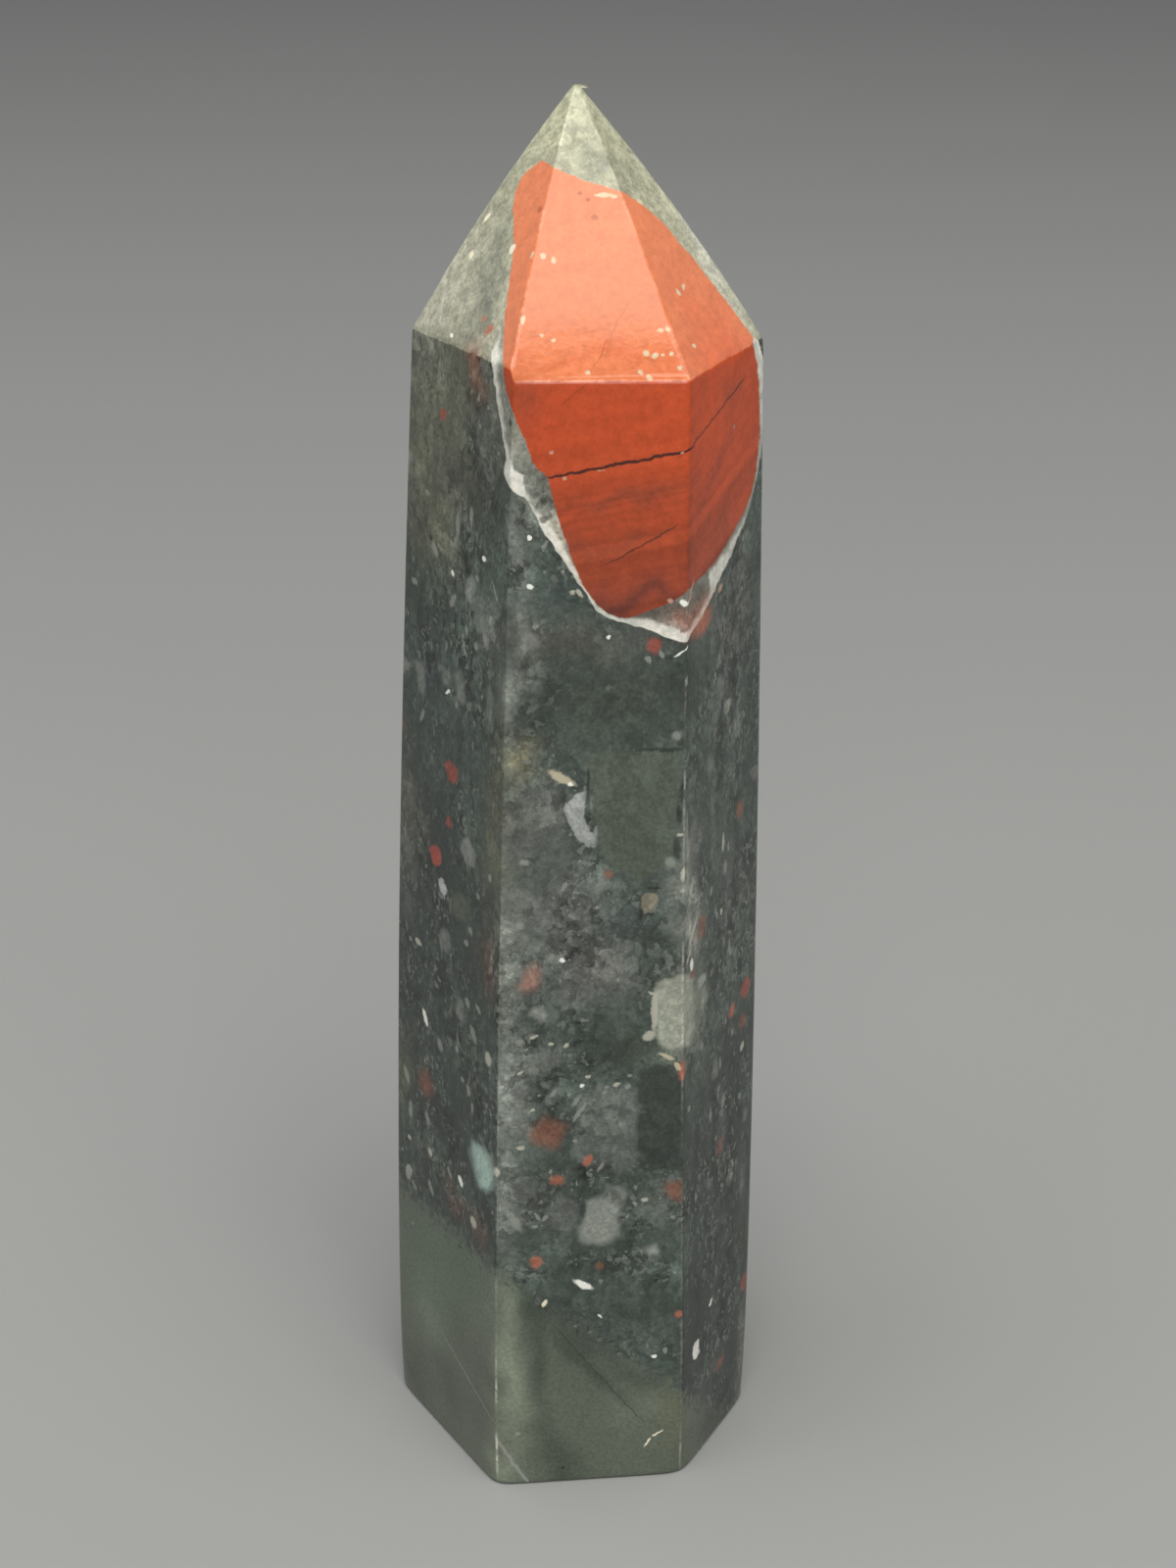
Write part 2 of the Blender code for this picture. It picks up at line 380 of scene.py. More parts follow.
# Soft zones of other tints: photo pixel, width and height on the stone (mm), tint, strength and,
# where a zone is turned, degrees anticlockwise.
STONE_ZONES = (
    (711, 1030, 2.6, 4.6, "block", 0.62), (690, 1076, 2.2, 1.6, "block", 0.4),
    (447, 540, 5, 5, "murk", 0.85), (460, 390, 6, 7, "murk", 0.6), (430, 470, 3.5, 12, "murk", 0.7),
    (487, 380, 1.6, 2.6, "orange", 0.45), (484, 356, 1.8, 1.6, "orange", 0.4),
    (499, 430, 1.6, 6, "grey", 0.4), (528, 545, 1.3, 4.6, "smoke", 0.55),
    (548, 520, 1.2, 3, "smoke", 0.45, -10), (527, 640, 1.3, 6.5, "smoke", 0.38),
    (519, 712, 1.3, 2.8, "smoke", 0.65), (498, 632, 2.4, 3, "smoke", 0.55),
    (560, 610, 4, 3, "blue", 0.5), (570, 655, 5.5, 2.5, "brown", 0.55),
    (650, 655, 6, 2.5, "purple", 0.45), (636, 712, 8, 6, "green", 0.82),
    (690, 700, 2.5, 8, "dark", 0.5), (568, 668, 1, 3, "dark", 0.75), (536, 735, 2.4, 3.4, "dark", 0.7),
    (540, 690, 2.4, 2.4, "grey", 0.4), (535, 777, 2.2, 2.6, "ochre", 0.48, -20),
    (506, 850, 2.2, 11, "moss", 0.8), (550, 840, 4.4, 4.5, "purple", 0.7),
    (560, 690, 4, 3, "dark", 0.35), (565, 920, 6, 5.5, "grit", 0.9), (600, 985, 6.5, 5, "purple", 0.75),
    (640, 935, 4, 3.6, "blue", 0.6), (620, 1150, 6, 5, "grit", 0.22), (680, 960, 3, 3, "ground", 0.5),
    (640, 1070, 4, 3.6, "green", 0.85), (545, 1090, 3.6, 4.5, "grit", 0.7),
    (560, 1130, 3, 3, "green", 0.5), (603, 1090, 2, 1.4, "dark", 0.8, -30),
    (588, 1193, 3.2, 2.4, "dark", 0.85), (675, 1235, 3, 3.4, "grey", 0.4),
    (545, 1235, 3, 4, "grit", 0.6), (615, 1182, 1.8, 1.6, "dark", 0.7),
    (600, 1290, 7, 1.6, "dark", 0.6), (640, 1335, 7, 4.6, "dark", 0.55),
    (585, 1330, 4, 3, "dark", 0.45, -30), (655, 1372, 5, 2.4, "ground", 0.6, -20),
    (440, 650, 5, 6, "ground", 0.8), (440, 720, 6, 9, "blue", 0.8), (440, 900, 6, 10, "dark", 0.55),
    (490, 950, 2.4, 6, "dark", 0.6), (498, 985, 2.2, 3.5, "rust", 0.28),
    (430, 1100, 5, 10, "dark", 0.35), (464, 1222, 2.6, 1.8, "rust", 0.34, -35),
    (490, 1256, 3, 1.8, "rust", 0.34, -35), (478, 1120, 2.6, 8, "green", 0.5),
    (742, 640, 4, 5, "purple", 0.6), (755, 590, 3, 6, "purple", 0.5),
    (704, 920, 2.4, 6.5, "smoke", 0.9), (709, 850, 1.4, 5, "grey", 0.5),
    (706, 950, 1, 3.6, "milk", 0.5, 20), (704, 885, 0.8, 3, "milk", 0.45),
    (742, 900, 3.4, 7, "grit", 0.55), (735, 1130, 5, 14, "dark", 0.45), (733, 1185, 1, 7, "dark", 0.6),
    (704, 1180, 1, 2.8, "dark", 0.6), (730, 1300, 6, 16, "dark", 0.4), (757, 1400, 2, 8, "grey", 0.5),
    (740, 565, 2, 1.8, "dark", 0.5), (742, 740, 4, 8, "grit", 0.3), (452, 300, 5, 9, "milk", 0.35),
    (452, 900, 5, 7, "black", 0.5), (448, 1090, 5, 8, "black", 0.16), (745, 1190, 1, 8, "black", 0.9),
    (728, 1130, 0.8, 6, "black", 0.8, 3), (753, 1110, 0.9, 5, "black", 0.8),
    (722, 1250, 0.8, 6, "black", 0.8, 4), (748, 1290, 1.2, 6, "black", 0.8, 5),
    (735, 1330, 0.9, 5, "black", 0.7), (712, 1170, 0.7, 5, "black", 0.6),
    (712, 1320, 0.8, 5, "black", 0.6, 3), (722, 1400, 3, 4, "grit", 0.4),
    (738, 1160, 0.7, 5, "grey", 0.4), (757, 1210, 0.6, 5, "grey", 0.45),
    (735, 1235, 4, 6, "black", 0.3), (755, 1340, 0.9, 5, "grey", 0.35),
    (735, 760, 0.8, 4, "black", 0.7, 4), (748, 690, 0.8, 4, "black", 0.7),
    (728, 830, 0.7, 5, "grey", 0.4, 3), (722, 720, 0.8, 5, "black", 0.6),
    (752, 860, 0.9, 5, "black", 0.6), (716, 900, 0.8, 4, "black", 0.6), (742, 930, 0.9, 5, "grey", 0.4),
    (470, 760, 0.8, 5, "black", 0.4), (430, 620, 0.8, 5, "black", 0.35),
    (478, 520, 1, 5, "black", 0.35, -8), (465, 485, 5, 5, "brown", 0.38),
    (494, 455, 0.9, 5, "grey", 0.55), (492, 440, 0.8, 5, "black", 0.45), (620, 1150, 6, 5, "dark", 0.2),
    (492, 315, 3, 5.5, "ground", 0.55), (512, 240, 2, 8, "ground", 0.4), (508, 200, 2, 6, "murk", 0.4),
    (600, 160, 3.2, 2.6, "murk", 0.3), (625, 170, 2, 4, "murk", 0.5), (660, 195, 1.6, 6, "murk", 0.4),
    (720, 262, 1.2, 14, "milk", 0.85),
)
# Zones that end at the edges of the front.
FRONT_ZONES = (
    (512, 940, 2, 6, "grey", 0.9), (515, 1020, 2.4, 7, "smoke", 0.62),
    (515, 1125, 2.4, 8, "smoke", 0.72), (514, 1225, 2.2, 7, "smoke", 0.5),
    (517, 718, 1.2, 3, "smoke", 0.6), (512, 860, 1.5, 5, "grey", 0.4), (566, 930, 5, 4.4, "grey", 0.42),
)
FOOT_ZONES = (
    (548, 1330, 5, 2.8, "dark foot", 0.8, -38), (600, 1372, 6, 2.4, "dark foot", 0.75, -42),
    (655, 1410, 5, 2, "dark foot", 0.55, -35), (470, 1290, 6, 6, "leek", 0.7),
    (437, 1300, 6, 8, "leek", 0.8), (437, 1348, 4.2, 4.6, "light foot", 0.4, 35),
    (458, 1415, 6, 5, "dark foot", 0.5), (425, 1400, 3, 3, "dark foot", 0.4),
    (517, 1330, 1.8, 5, "light foot", 0.55), (519, 1400, 2, 9, "light foot", 0.85),
    (515, 1500, 2.4, 2.6, "light foot", 0.7), (530, 1440, 2.4, 7, "light foot", 0.45),
    (549, 1390, 1.2, 8, "dark foot", 0.75, 2), (566, 1480, 1.5, 7, "dark foot", 0.7, 20),
    (605, 1400, 0.6, 9.5, "dark foot", 0.8, 41), (640, 1475, 7, 5, "foot", 0.6),
    (686, 1430, 1.8, 6, "moss", 0.6), (560, 1340, 4, 3, "dark foot", 0.5),
    (650, 1440, 4.5, 3.5, "light foot", 0.2), (440, 1300, 5, 5, "light foot", 0.12),
    (730, 1440, 6, 7, "dark foot", 0.75), (574, 1502, 2.6, 3, "dark foot", 0.5),
)
# Where the small light shards are many or few.
LITTER_ZONES = (
    (545, 1095, 4.5, 6, "many", 1), (590, 935, 4.5, 7, "many", 0.8), (610, 1130, 4, 5, "many", 0.7),
    (470, 590, 4, 7, "many", 1), (475, 690, 4, 6, "many", 1), (440, 1160, 6, 6, "many", 1),
    (490, 1090, 3, 6, "many", 0.8), (560, 1240, 4, 4, "many", 0.5), (745, 700, 5, 11, "many", 0.9),
    (705, 930, 2, 8, "many", 1), (735, 1190, 5, 10, "many", 0.9), (735, 1330, 5, 6, "many", 0.7),
    (630, 710, 8, 5, "few", 1), (650, 830, 5, 7, "few", 0.9), (440, 450, 6, 6, "few", 0.7),
    (430, 800, 5, 8, "few", 0.3), (640, 1335, 8, 4, "few", 0.8), (440, 1000, 5, 7, "many", 0.6),
    (742, 960, 5, 9, "many", 0.8), (640, 1060, 4, 4, "few", 0.8),
)
RIM_ZONES = (
    (506, 365, 1, 1, "rim white", 0.6), (507, 390, 1.6, 2.2, "milk", 0.45),
    (512, 415, 1, 2, "rim green", 0.4), (524, 435, 1.4, 1.8, "moss", 0.6),
    (530, 462, 2.2, 4, "milk", 0.42), (545, 488, 1.6, 1.8, "rim", 0.8),
    (548, 508, 1.6, 2, "rim green", 0.9), (558, 500, 0.8, 3, "rim brown", 0.7, 10),
    (566, 528, 0.8, 3, "rim brown", 0.75, 14), (553, 524, 1.2, 0.8, "rim", 0.9),
    (560, 545, 1.6, 2, "milk", 0.6, 30), (572, 560, 1, 3, "tan", 0.45, 30),
    (594, 594, 1.2, 1.8, "tan", 0.6, 30), (602, 606, 1.2, 1.6, "rim green", 0.7, 30),
    (697, 648, 1.6, 1.2, "rim white", 0.6), (668, 629, 4.2, 2, "rim brown", 0.95, 14),
    (696, 628, 1.6, 1.6, "rim brown", 0.8), (714, 606, 3, 3, "rim brown", 0.95),
    (722, 594, 1.2, 1, "rim", 0.5), (713, 633, 3.6, 2, "orange", 0.95), (777, 400, 1.4, 6, "milk", 0.8),
    (775, 362, 1.4, 2, "rim white", 0.8),
)
JASPER_ZONES = (
    (738, 430, 7, 12, "jasper light", 0.75), (740, 520, 5, 6, "jasper light", 0.45),
    (600, 365, 9, 0.7, "jasper", 0.35), (642, 611, 9, 1.3, "jasper dark", 0.85, 4),
    (640, 596, 7, 1.8, "jasper dark", 0.22, 10), (698, 585, 0.9, 4, "jasper dark", 0.3),
    (640, 512, 8, 1, "jasper low", 0.8, 12), (620, 556, 7, 1, "jasper low", 0.65, 8),
    (535, 405, 1.6, 3, "jasper low", 0.5), (690, 440, 3, 2.6, "jasper", 0.6),
    (735, 470, 5, 1.1, "jasper low", 0.6, 40), (735, 530, 5, 3, "jasper low", 0.55, 40),
    (745, 405, 3, 2.4, "jasper low", 0.45, 40), (742, 560, 3, 3, "jasper dark", 0.35, 40),
)

# Outline of the red jasper patch, photo pixels, from the top of the left facet round by the left.
RED_PATCH = (
    (553, 163), (541, 171), (532, 181), (525, 197), (523, 214), (524.5, 235), (524, 251), (520, 285),
    (516, 313), (514, 341), (513, 358), (513.5, 378), (516, 398), (520, 410), (525, 425), (530, 438),
    (536, 450), (540, 462), (543, 472), (550, 480), (558, 485), (562, 500), (567, 520), (573, 540),
    (579, 557), (587, 580), (596, 600), (606, 614), (618, 625), (628, 630), (642, 631), (655, 626.5),
    (668, 621.5), (681, 616.5), (694, 610), (703, 602), (712, 592), (720, 585), (728, 576),
    (735, 566), (741, 556), (746, 548), (751, 538), (757, 527), (762, 516), (766, 505), (769, 494),
    (772, 478), (774, 462), (775.5, 435), (775, 396), (772, 366), (768.5, 352), (769, 345), (760, 332),
    (745, 312), (717, 276), (694, 248), (675, 225), (657, 210), (638, 197), (618, 190), (599, 185),
    (582, 178), (566, 171),
)
# Outline of the chalcedony rim round the patch, and the width of the white seam along the inside
# of the outline, photo pixels.
RIM = (
    (566, 180, 0), (550, 172, 0), (534, 190, 0), (532, 240, 0), (524, 300, 0), (516, 335, 0),
    (505, 352, 3), (502, 359, 7), (501, 367, 7), (503, 378, 4), (504, 390, 3), (506, 398, 3),
    (507, 410, 3), (509, 420, 3), (511, 433, 3), (513, 445, 2), (515, 457, 2), (517, 470, 3),
    (514, 479, 12), (516, 488, 16), (520, 496, 17), (524, 502, 13), (531, 506, 9), (536, 508, 4),
    (539, 512, 1), (543, 520, 2), (547, 527, 4), (550, 534, 7), (554, 542, 8), (563, 554, 7),
    (572, 567, 6), (578, 576, 5), (585, 587, 4), (590, 594, 2.5), (596, 602, 2), (604, 616, 3),
    (611, 625, 4), (622, 631, 3), (629, 634, 3), (639, 636, 4), (652, 639, 8), (668, 645, 10),
    (681, 651, 11), (694, 655, 12), (701, 655, 10), (704, 649, 4), (708, 642, 3), (713, 634, 3),
    (718, 626, 3), (723, 615, 3), (728, 605, 3), (731, 599, 5), (733, 592, 10), (736, 586, 10),
    (741, 577, 9), (745, 569, 6), (749, 557, 4), (755, 543, 2.5), (759, 534, 1.6), (762, 525, 1.2),
    (765, 515, 1), (768, 505, 1), (771, 493, 1), (774, 477, 1.2), (777, 460, 1.2), (779, 430, 1.8),
    (781, 400, 4), (780, 380, 6), (778, 362, 7), (774, 348, 4), (765, 342, 0), (745, 320, 0),
    (694, 260, 0), (655, 220, 0), (617, 200, 0), (590, 192, 0),
)
# How much the edges are lightened, partly by wear and partly as a painted highlight and glow along them:
# for two faces that meet (facets count on from the sides), heights (mm) and the amount at each, 0 to 1.
WEAR_AND_GLINT = 0.30
EDGE_WEAR_AND_GLINT = (
    ((1, 2), (0, 8, 14, 40, 56, 70), (0.95, 0.80, 0.35, 0.25, 0.10, 0.30)),
    ((2, 3), (0, 12, 28, 34, 55, 61, 76), (0.55, 0.45, 0.38, 0.62, 0.50, 0.06, 0.06)),
    ((3, 4), (0, 60), (0.45, 0.45)),
    ((0, 1), (0, 76), (0.30, 0.30)),
    ((2, 8), (75, 76), (0.45, 0.45)),
    ((3, 9), (75, 76), (0.35, 0.35)),
    ((6, 7), (76, 90), (0.80, 0.80)),
    ((9, 10), (76, 90), (0.80, 0.80)),
    ((1, 7), (75, 76), (0.10, 0.10)),
    ((7, 8), (76, 90), (0.45, 0.45)),
    ((8, 9), (76, 90), (0.40, 0.40)),
)
# These waves make both the wear and the painted highlight of the edges uneven.
WEAR_AND_GLINT_WAVE = 3.0                 # mm, the length of the waves that make wear uneven
WEAR_AND_GLINT_SPREAD = 0.9               # how much they change it, and between what limits
WEAR_AND_GLINT_LIMITS = (0.25, 1.6)

# Large clasts with straight sides: tint, strength, softness of the border (mm), photo pixels.
OUTLINED_CLASTS = (
    ("olive", 0.8, 0.14, (
        (599, 772), (622, 768), (652, 767), (686, 768), (696, 776), (694, 805), (692, 840), (689, 876),
        (668, 893), (651, 899), (632, 888), (616, 876), (608, 850), (604, 823), (599, 800),
    )),
    ("ochre", 0.3, 0.18, (
        (600, 774), (634, 769), (632, 784), (601, 787),
    )),
    ("block", 0.9, 0.2, (
        (669, 1001), (682, 999), (697, 995), (706, 995), (709, 1010), (709, 1050), (706, 1066),
        (694, 1070), (680, 1070), (671, 1062), (669, 1030),
    )),
    ("lavender", 0.85, 0.07, (
        (597, 806), (586, 811), (576, 823), (578, 836), (584, 848), (590, 859), (598, 864), (608, 865),
        (607, 851), (600, 845), (596, 832), (598, 816),
    )),
    ("dark", 0.72, 0.1, (
        (652, 1092), (672, 1086), (688, 1088), (698, 1100), (702, 1140), (700, 1186), (688, 1196),
        (653, 1195), (650, 1150),
    )),
    ("grey", 0.36, 0.2, (
        (594, 1116), (612, 1108), (640, 1106), (649, 1120), (650, 1190), (640, 1197), (600, 1190),
        (584, 1180), (588, 1140),
    )),
    ("smoke", 0.84, 0.28, (
        (599, 1224), (616, 1219), (631, 1222), (631, 1262), (617, 1270), (592, 1268), (590, 1255),
        (597, 1240),
    )),
    ("grey", 0.6, 0.14, (
        (617, 1208), (638, 1211), (641, 1229), (632, 1232), (619, 1228),
    )),
    ("aqua", 0.78, 0.32, (
        (482, 1165), (489, 1167), (497, 1178), (504, 1195), (503, 1212), (497, 1216), (490, 1212),
        (485, 1195), (481, 1178),
    )),
)

# Small clasts and chips: tint, photo pixel, width and height on the stone (mm), softness of the
# border (mm; the soft ones lie under the polish) and, where one is turned, degrees anticlockwise.
CHIPS = (
    ("red", 668, 659, 0.85, 1.1, 0.2), ("red", 461, 789, 1.6, 1.45, 0.2, 20),
    ("red", 445, 873, 1.4, 1.8, 0.1, 10), ("red", 458, 840, 0.8, 0.7, 0.12),
    ("red", 452, 423, 0.75, 0.95, 0.1), ("rust", 716, 946, 1.3, 1.6, 0.3),
    ("red", 761, 1007, 1.5, 1.4, 0.15), ("orange", 747, 1031, 0.9, 1.1, 0.18),
    ("rust", 757, 1043, 1.1, 1.1, 0.25), ("salmon", 541, 999, 0.95, 2.2, 0.5, -22),
    ("rust", 435, 1105, 2.1, 1.8, 0.6), ("rust", 557, 1157, 2.3, 2.4, 0.45),
    ("orange", 569, 1204, 1.05, 0.7, 0.22), ("rust", 688, 1215, 1.1, 1.7, 0.35, 15),
    ("orange", 547, 1288, 0.95, 0.8, 0.18, -10), ("rust", 735, 1390, 1.1, 1.1, 0.25),
    ("red", 759, 1308, 1.2, 1.3, 0.15), ("rust", 755, 826, 1, 1.5, 0.2),
    ("orange", 715, 634, 3.4, 1.8, 0.45), ("orange", 499, 336, 0.75, 0.9, 0.1, -10),
    ("dark", 742, 1060, 1.1, 1.3, 0.25), ("lavender", 452, 905, 1, 1.25, 0.1, 25),
    ("grey", 478, 870, 2.1, 1.8, 0.12, -20), ("beige", 662, 921, 1.15, 1.75, 0.07, -10),
    ("smoke", 742, 721, 0.9, 0.95, 0.1, 15), ("grey", 760, 1138, 0.7, 1.2, 0.3),
    ("smoke", 417, 1196, 0.8, 1.7, 0.1, -20), ("white", 710, 1377, 1.1, 1.65, 0.08, 5),
    ("smoke", 716, 1001, 1.2, 0.95, 0.14), ("grey", 723, 1207, 0.8, 0.8, 0.3),
    ("grey", 540, 655, 1.5, 1.3, 0.25), ("grey", 612, 905, 0.9, 0.8, 0.2),
    ("grey", 456, 691, 1.2, 1.1, 0.25), ("grey", 622, 1145, 1.2, 1.5, 0.25, 20),
    ("grit", 560, 1080, 1.5, 1.3, 0.15), ("grit", 530, 1115, 1.3, 1.1, 0.15, 30),
    ("smoke", 550, 1035, 0.9, 1.2, 0.25, 30), ("dark", 630, 870, 1, 0.5, 0.2, 20),
    ("grit", 537, 1212, 1.7, 2.1, 0.15, 20), ("grit", 573, 1240, 2.1, 3.1, 0.2, 10),
    ("dark", 620, 1295, 1.6, 1.1, 0.25, 10), ("dark", 578, 1330, 0.8, 0.9, 0.15),
    ("grit", 650, 1130, 0.5, 1.2, 0.15), ("smoke", 665, 1275, 1, 0.9, 0.25),
    ("grey", 455, 960, 1.6, 1.9, 0.22, 10), ("olive", 470, 925, 2.6, 2.2, 0.3),
    ("grey", 430, 690, 1.1, 2.4, 0.22, 10), ("grey", 470, 700, 0.9, 2.6, 0.25, 8),
    ("smoke", 480, 600, 1, 2.2, 0.22, -25), ("grey", 500, 720, 0.8, 2.6, 0.25),
    ("grey", 470, 1030, 1, 1.9, 0.2, -10), ("dark", 447, 1150, 1.4, 2.1, 0.2),
    ("grey", 735, 700, 1, 1.8, 0.22), ("grey", 752, 740, 1.1, 1.6, 0.22),
    ("grey", 730, 1090, 0.8, 2, 0.2), ("dark", 748, 608, 0.9, 1, 0.15),
    ("grey", 745, 1200, 0.9, 1.5, 0.25), ("rust", 735, 1170, 0.8, 1.5, 0.35),
    ("dark", 775, 570, 1, 1.2, 0.15), ("grey", 725, 780, 1.1, 1.3, 0.25),
)
CHIP_CORNERS = 6
CORNER_SHIFT = 0.3              # how far a chip's side turns from its place, in sides
LEAST_STAND = 0.72              # how near a side may stand, as a share of the ellipse's reach
CHIP_DEPTH = 0.9                # half of how deep a chip reaches into the stone, mm
CHIP_REACH = 4.0                # farther than this from its middle a chip isn't worked out, mm
CRISP = 0.15                    # chips with softer borders lie deeper, and show less
CRISP_STRENGTH, SOFT_STRENGTH = 0.95, 0.75
FAR = 9.0                       # a distance that counts as far from a marking, mm

# The sides that the camera doesn't see have the same kinds of chips and zones, at random places.
HIDDEN_SIDES = (0, 4, 5)        # left back, right back, back
HIDDEN_HEIGHTS = (0.010, 0.074)  # lowest and highest place, m
HIDDEN_HALF_WIDTH = 0.0062      # farthest from the middle of a side, m
HIDDEN_CHIPS = (
    ("red", 16), ("rust", 16), ("orange", 8), ("grey", 46), ("smoke", 14), ("dark", 34),
    ("grit", 26), ("green", 16), ("olive", 8), ("white", 12), ("cream", 8), ("block", 4),
)
LARGE_KINDS = ("grey", "dark", "green", "block")
LARGE_GROWTH, SMALL_GROWTH = 1.9, 1.2  # what the sizes of these and of the other kinds are times
SIZE_ROOTS = (0.5, 1.3)         # a chip's size is the square of a number between these, mm
CHIP_WIDTHS, CHIP_HEIGHTS = (0.6, 1.0), (0.8, 1.6)  # in sizes
CHIP_SOFTNESSES = (0.07, 0.28)
CHIP_TURNS = (-40, 40)
HIDDEN_ZONES = (("brown", 8), ("green", 8), ("dark", 10), ("purple", 7), ("grit", 7), ("moss", 4))
ZONE_WIDTHS, ZONE_HEIGHTS, ZONE_STRENGTHS = (2.5, 6.0), (3.0, 9.0), (0.4, 0.8)
MARKING_SEED = 11

# Zones bend with a random field: its wavelength and height, and the width from which they do fully.
BEND_WAVE, BEND_HEIGHT, FULLY_BENT = 3.0, 0.5, 3.0
LEAST_ZONE_DEPTH = 2.0
BEND_SEEDS, CLOUD_SEED, LITTER_SEED, WEAR_AND_GLINT_SEED = (1, 2, 3), 5, 6, 8
WAVES = 28                      # sine waves in a random field
WAVE_SPREAD = (0.6, 1.7)        # their lengths, as shares of its wavelength
CLOUD_WAVE, LITTER_WAVE = 7.0, 4.0
STONE_CLOUD, POINT_CLOUD, FOOT_CLOUD = 0.16, 0.10, 0.08
LITTER_MIDDLE, LITTER_SPREAD, LITTER_LIMITS = 0.42, 0.40, (0.05, 1.0)
MURKINESS = 0.45                # how much of the murk the stone takes on below the shoulder

# Heights (mm) between which one tint or lightness passes into the next; the lightness is partly painted
# shade, and the tip's tint partly a painted glow.
TONE_AND_SHADE_SPAN, MURK_SPAN = (0.0, 62.0), (66.0, 75.0)
TIP_GLOW_SPAN, JASPER_SPAN = (78.0, 88.0), (72.0, 59.0)
FRONT = 2
LEAST_SQUARED_SINE = 1e-3       # keeps the distance to the edge of a nearly parallel face finite


def outline_fields(points, outline):
    """Signed distance of 2-D points to a closed outline, and the outline's value where it is nearest.

    The distance is the least one to any of the outline's straight pieces. Its sign comes from how
    often a level ray from the point crosses the outline. An outline point is (x, y) or (x, y, value).
    """
    start = np.array([(*point, 0.0)[:3] for point in outline], dtype=float)
    end = np.roll(start, -1, axis=0)
    run = end[:, :2] - start[:, :2]
    offset = points[:, None, :] - start[:, :2]
    along = np.clip((offset * run).sum(axis=2) / (run * run).sum(axis=1), 0.0, 1.0)
    distance = np.linalg.norm(offset - along[..., None] * run, axis=2)
    nearest = distance.argmin(axis=1)
    row = np.arange(len(points))
    value = start[nearest, 2] + along[row, nearest] * (end - start)[nearest, 2]
    below = start[:, 1] <= points[:, 1, None]
    crosses = below != (end[:, 1] <= points[:, 1, None])
    rise = np.where(run[:, 1] == 0.0, 1.0, run[:, 1])
    meets = start[:, 0] + (points[:, 1, None] - start[:, 1]) * run[:, 0] / rise
    inside = (crosses & (meets > points[:, 0, None])).sum(axis=1) % 2 == 1
    return np.where(inside, -1.0, 1.0) * distance[row, nearest], value


def edge_distance(places):
    """Distance in millimetres to the nearest edge between two faces, and those faces' numbers.

    The face that a place lies on is the one it stands out of most. The edge with another face is
    as far as that face's plane is above the place, divided by the sine of the angle between them.
    """
    above = places @ face_normals.T - reach_at(places[:, 2]) - places[:, 2:] * face_normals[:, 2]
    row = np.arange(len(places))
    own = above.argmax(axis=1)
    gap = above[row, own][:, None] - above
    cosine = face_normals[own] @ face_normals.T
    away = gap / np.sqrt(np.clip(1.0 - cosine**2, LEAST_SQUARED_SINE, 1.0))
    away[row, own] = np.inf
    other = away.argmin(axis=1)
    return away[row, other] / MM, own, other


def edge_wear_and_glint(places, own, other):
    """How much the nearest edge is lightened by wear and painted highlight, 0 to 1, uneven along it."""
    wear_and_glint = np.full(len(places), WEAR_AND_GLINT)
    for pair, heights, values in EDGE_WEAR_AND_GLINT:
        on_edge = np.isin(own, pair) & np.isin(other, pair)
        wear_and_glint = np.where(on_edge, np.interp(places[:, 2] / MM, heights, values), wear_and_glint)
    uneven = 1.0 + WEAR_AND_GLINT_SPREAD * random_field(places, WEAR_AND_GLINT_WAVE, WEAR_AND_GLINT_SEED)
    return wear_and_glint * np.clip(uneven, *WEAR_AND_GLINT_LIMITS)


def face_axes(face, turn=0.0):
    """Directions across a face, up along it and out of it, turned in the face anticlockwise."""
    out = face_normals[face]
    across = np.array([-out[1], out[0], 0.0])
    across /= np.linalg.norm(across)
    upward = np.cross(out, across)
    angle = math.radians(turn)
    first = math.cos(angle) * across + math.sin(angle) * upward
    second = math.cos(angle) * upward - math.sin(angle) * across
    return np.array([first, second, out])


def random_field(places, wavelength, seed):
    """A smooth random field of about -1 to 1: the sum of sine waves that run every way."""
    draw = np.random.default_rng(seed)
    directions = draw.normal(size=(WAVES, 3))
    directions /= np.linalg.norm(directions, axis=1, keepdims=True)
    waves = directions / (wavelength * MM * draw.uniform(*WAVE_SPREAD, (WAVES, 1)))
    phases = draw.uniform(0.0, 2 * np.pi, WAVES)
    return np.sin(2 * np.pi * places @ waves.T + phases).sum(axis=1) / math.sqrt(WAVES)


def hidden_place(draw):
    """A random place on one of the sides that the camera does not see, and that side."""
    face = int(draw.choice(HIDDEN_SIDES))
    height = draw.uniform(*HIDDEN_HEIGHTS)
    across = face_axes(face)[0]
    flat = face_normals[face] * (face_distances[face] - face_normals[face, 2] * height)
    place = flat + across * draw.uniform(-HIDDEN_HALF_WIDTH, HIDDEN_HALF_WIDTH)
    return np.array([place[0], place[1], height]), face


def placed(zones):
    """Zones with a place on the stone and its face instead of a photo pixel."""
    for x, y, *rest in zones:
        yield (*on_stone(x, y), *rest)


def all_zones(draw):
    """The zones of the sides that are seen, then random ones on the other sides."""
    yield from placed(STONE_ZONES)
    for tint, count in HIDDEN_ZONES:
        for _ in range(count):
            wide, tall = draw.uniform(*ZONE_WIDTHS), draw.uniform(*ZONE_HEIGHTS)
            yield (*hidden_place(draw), wide, tall, tint, draw.uniform(*ZONE_STRENGTHS))


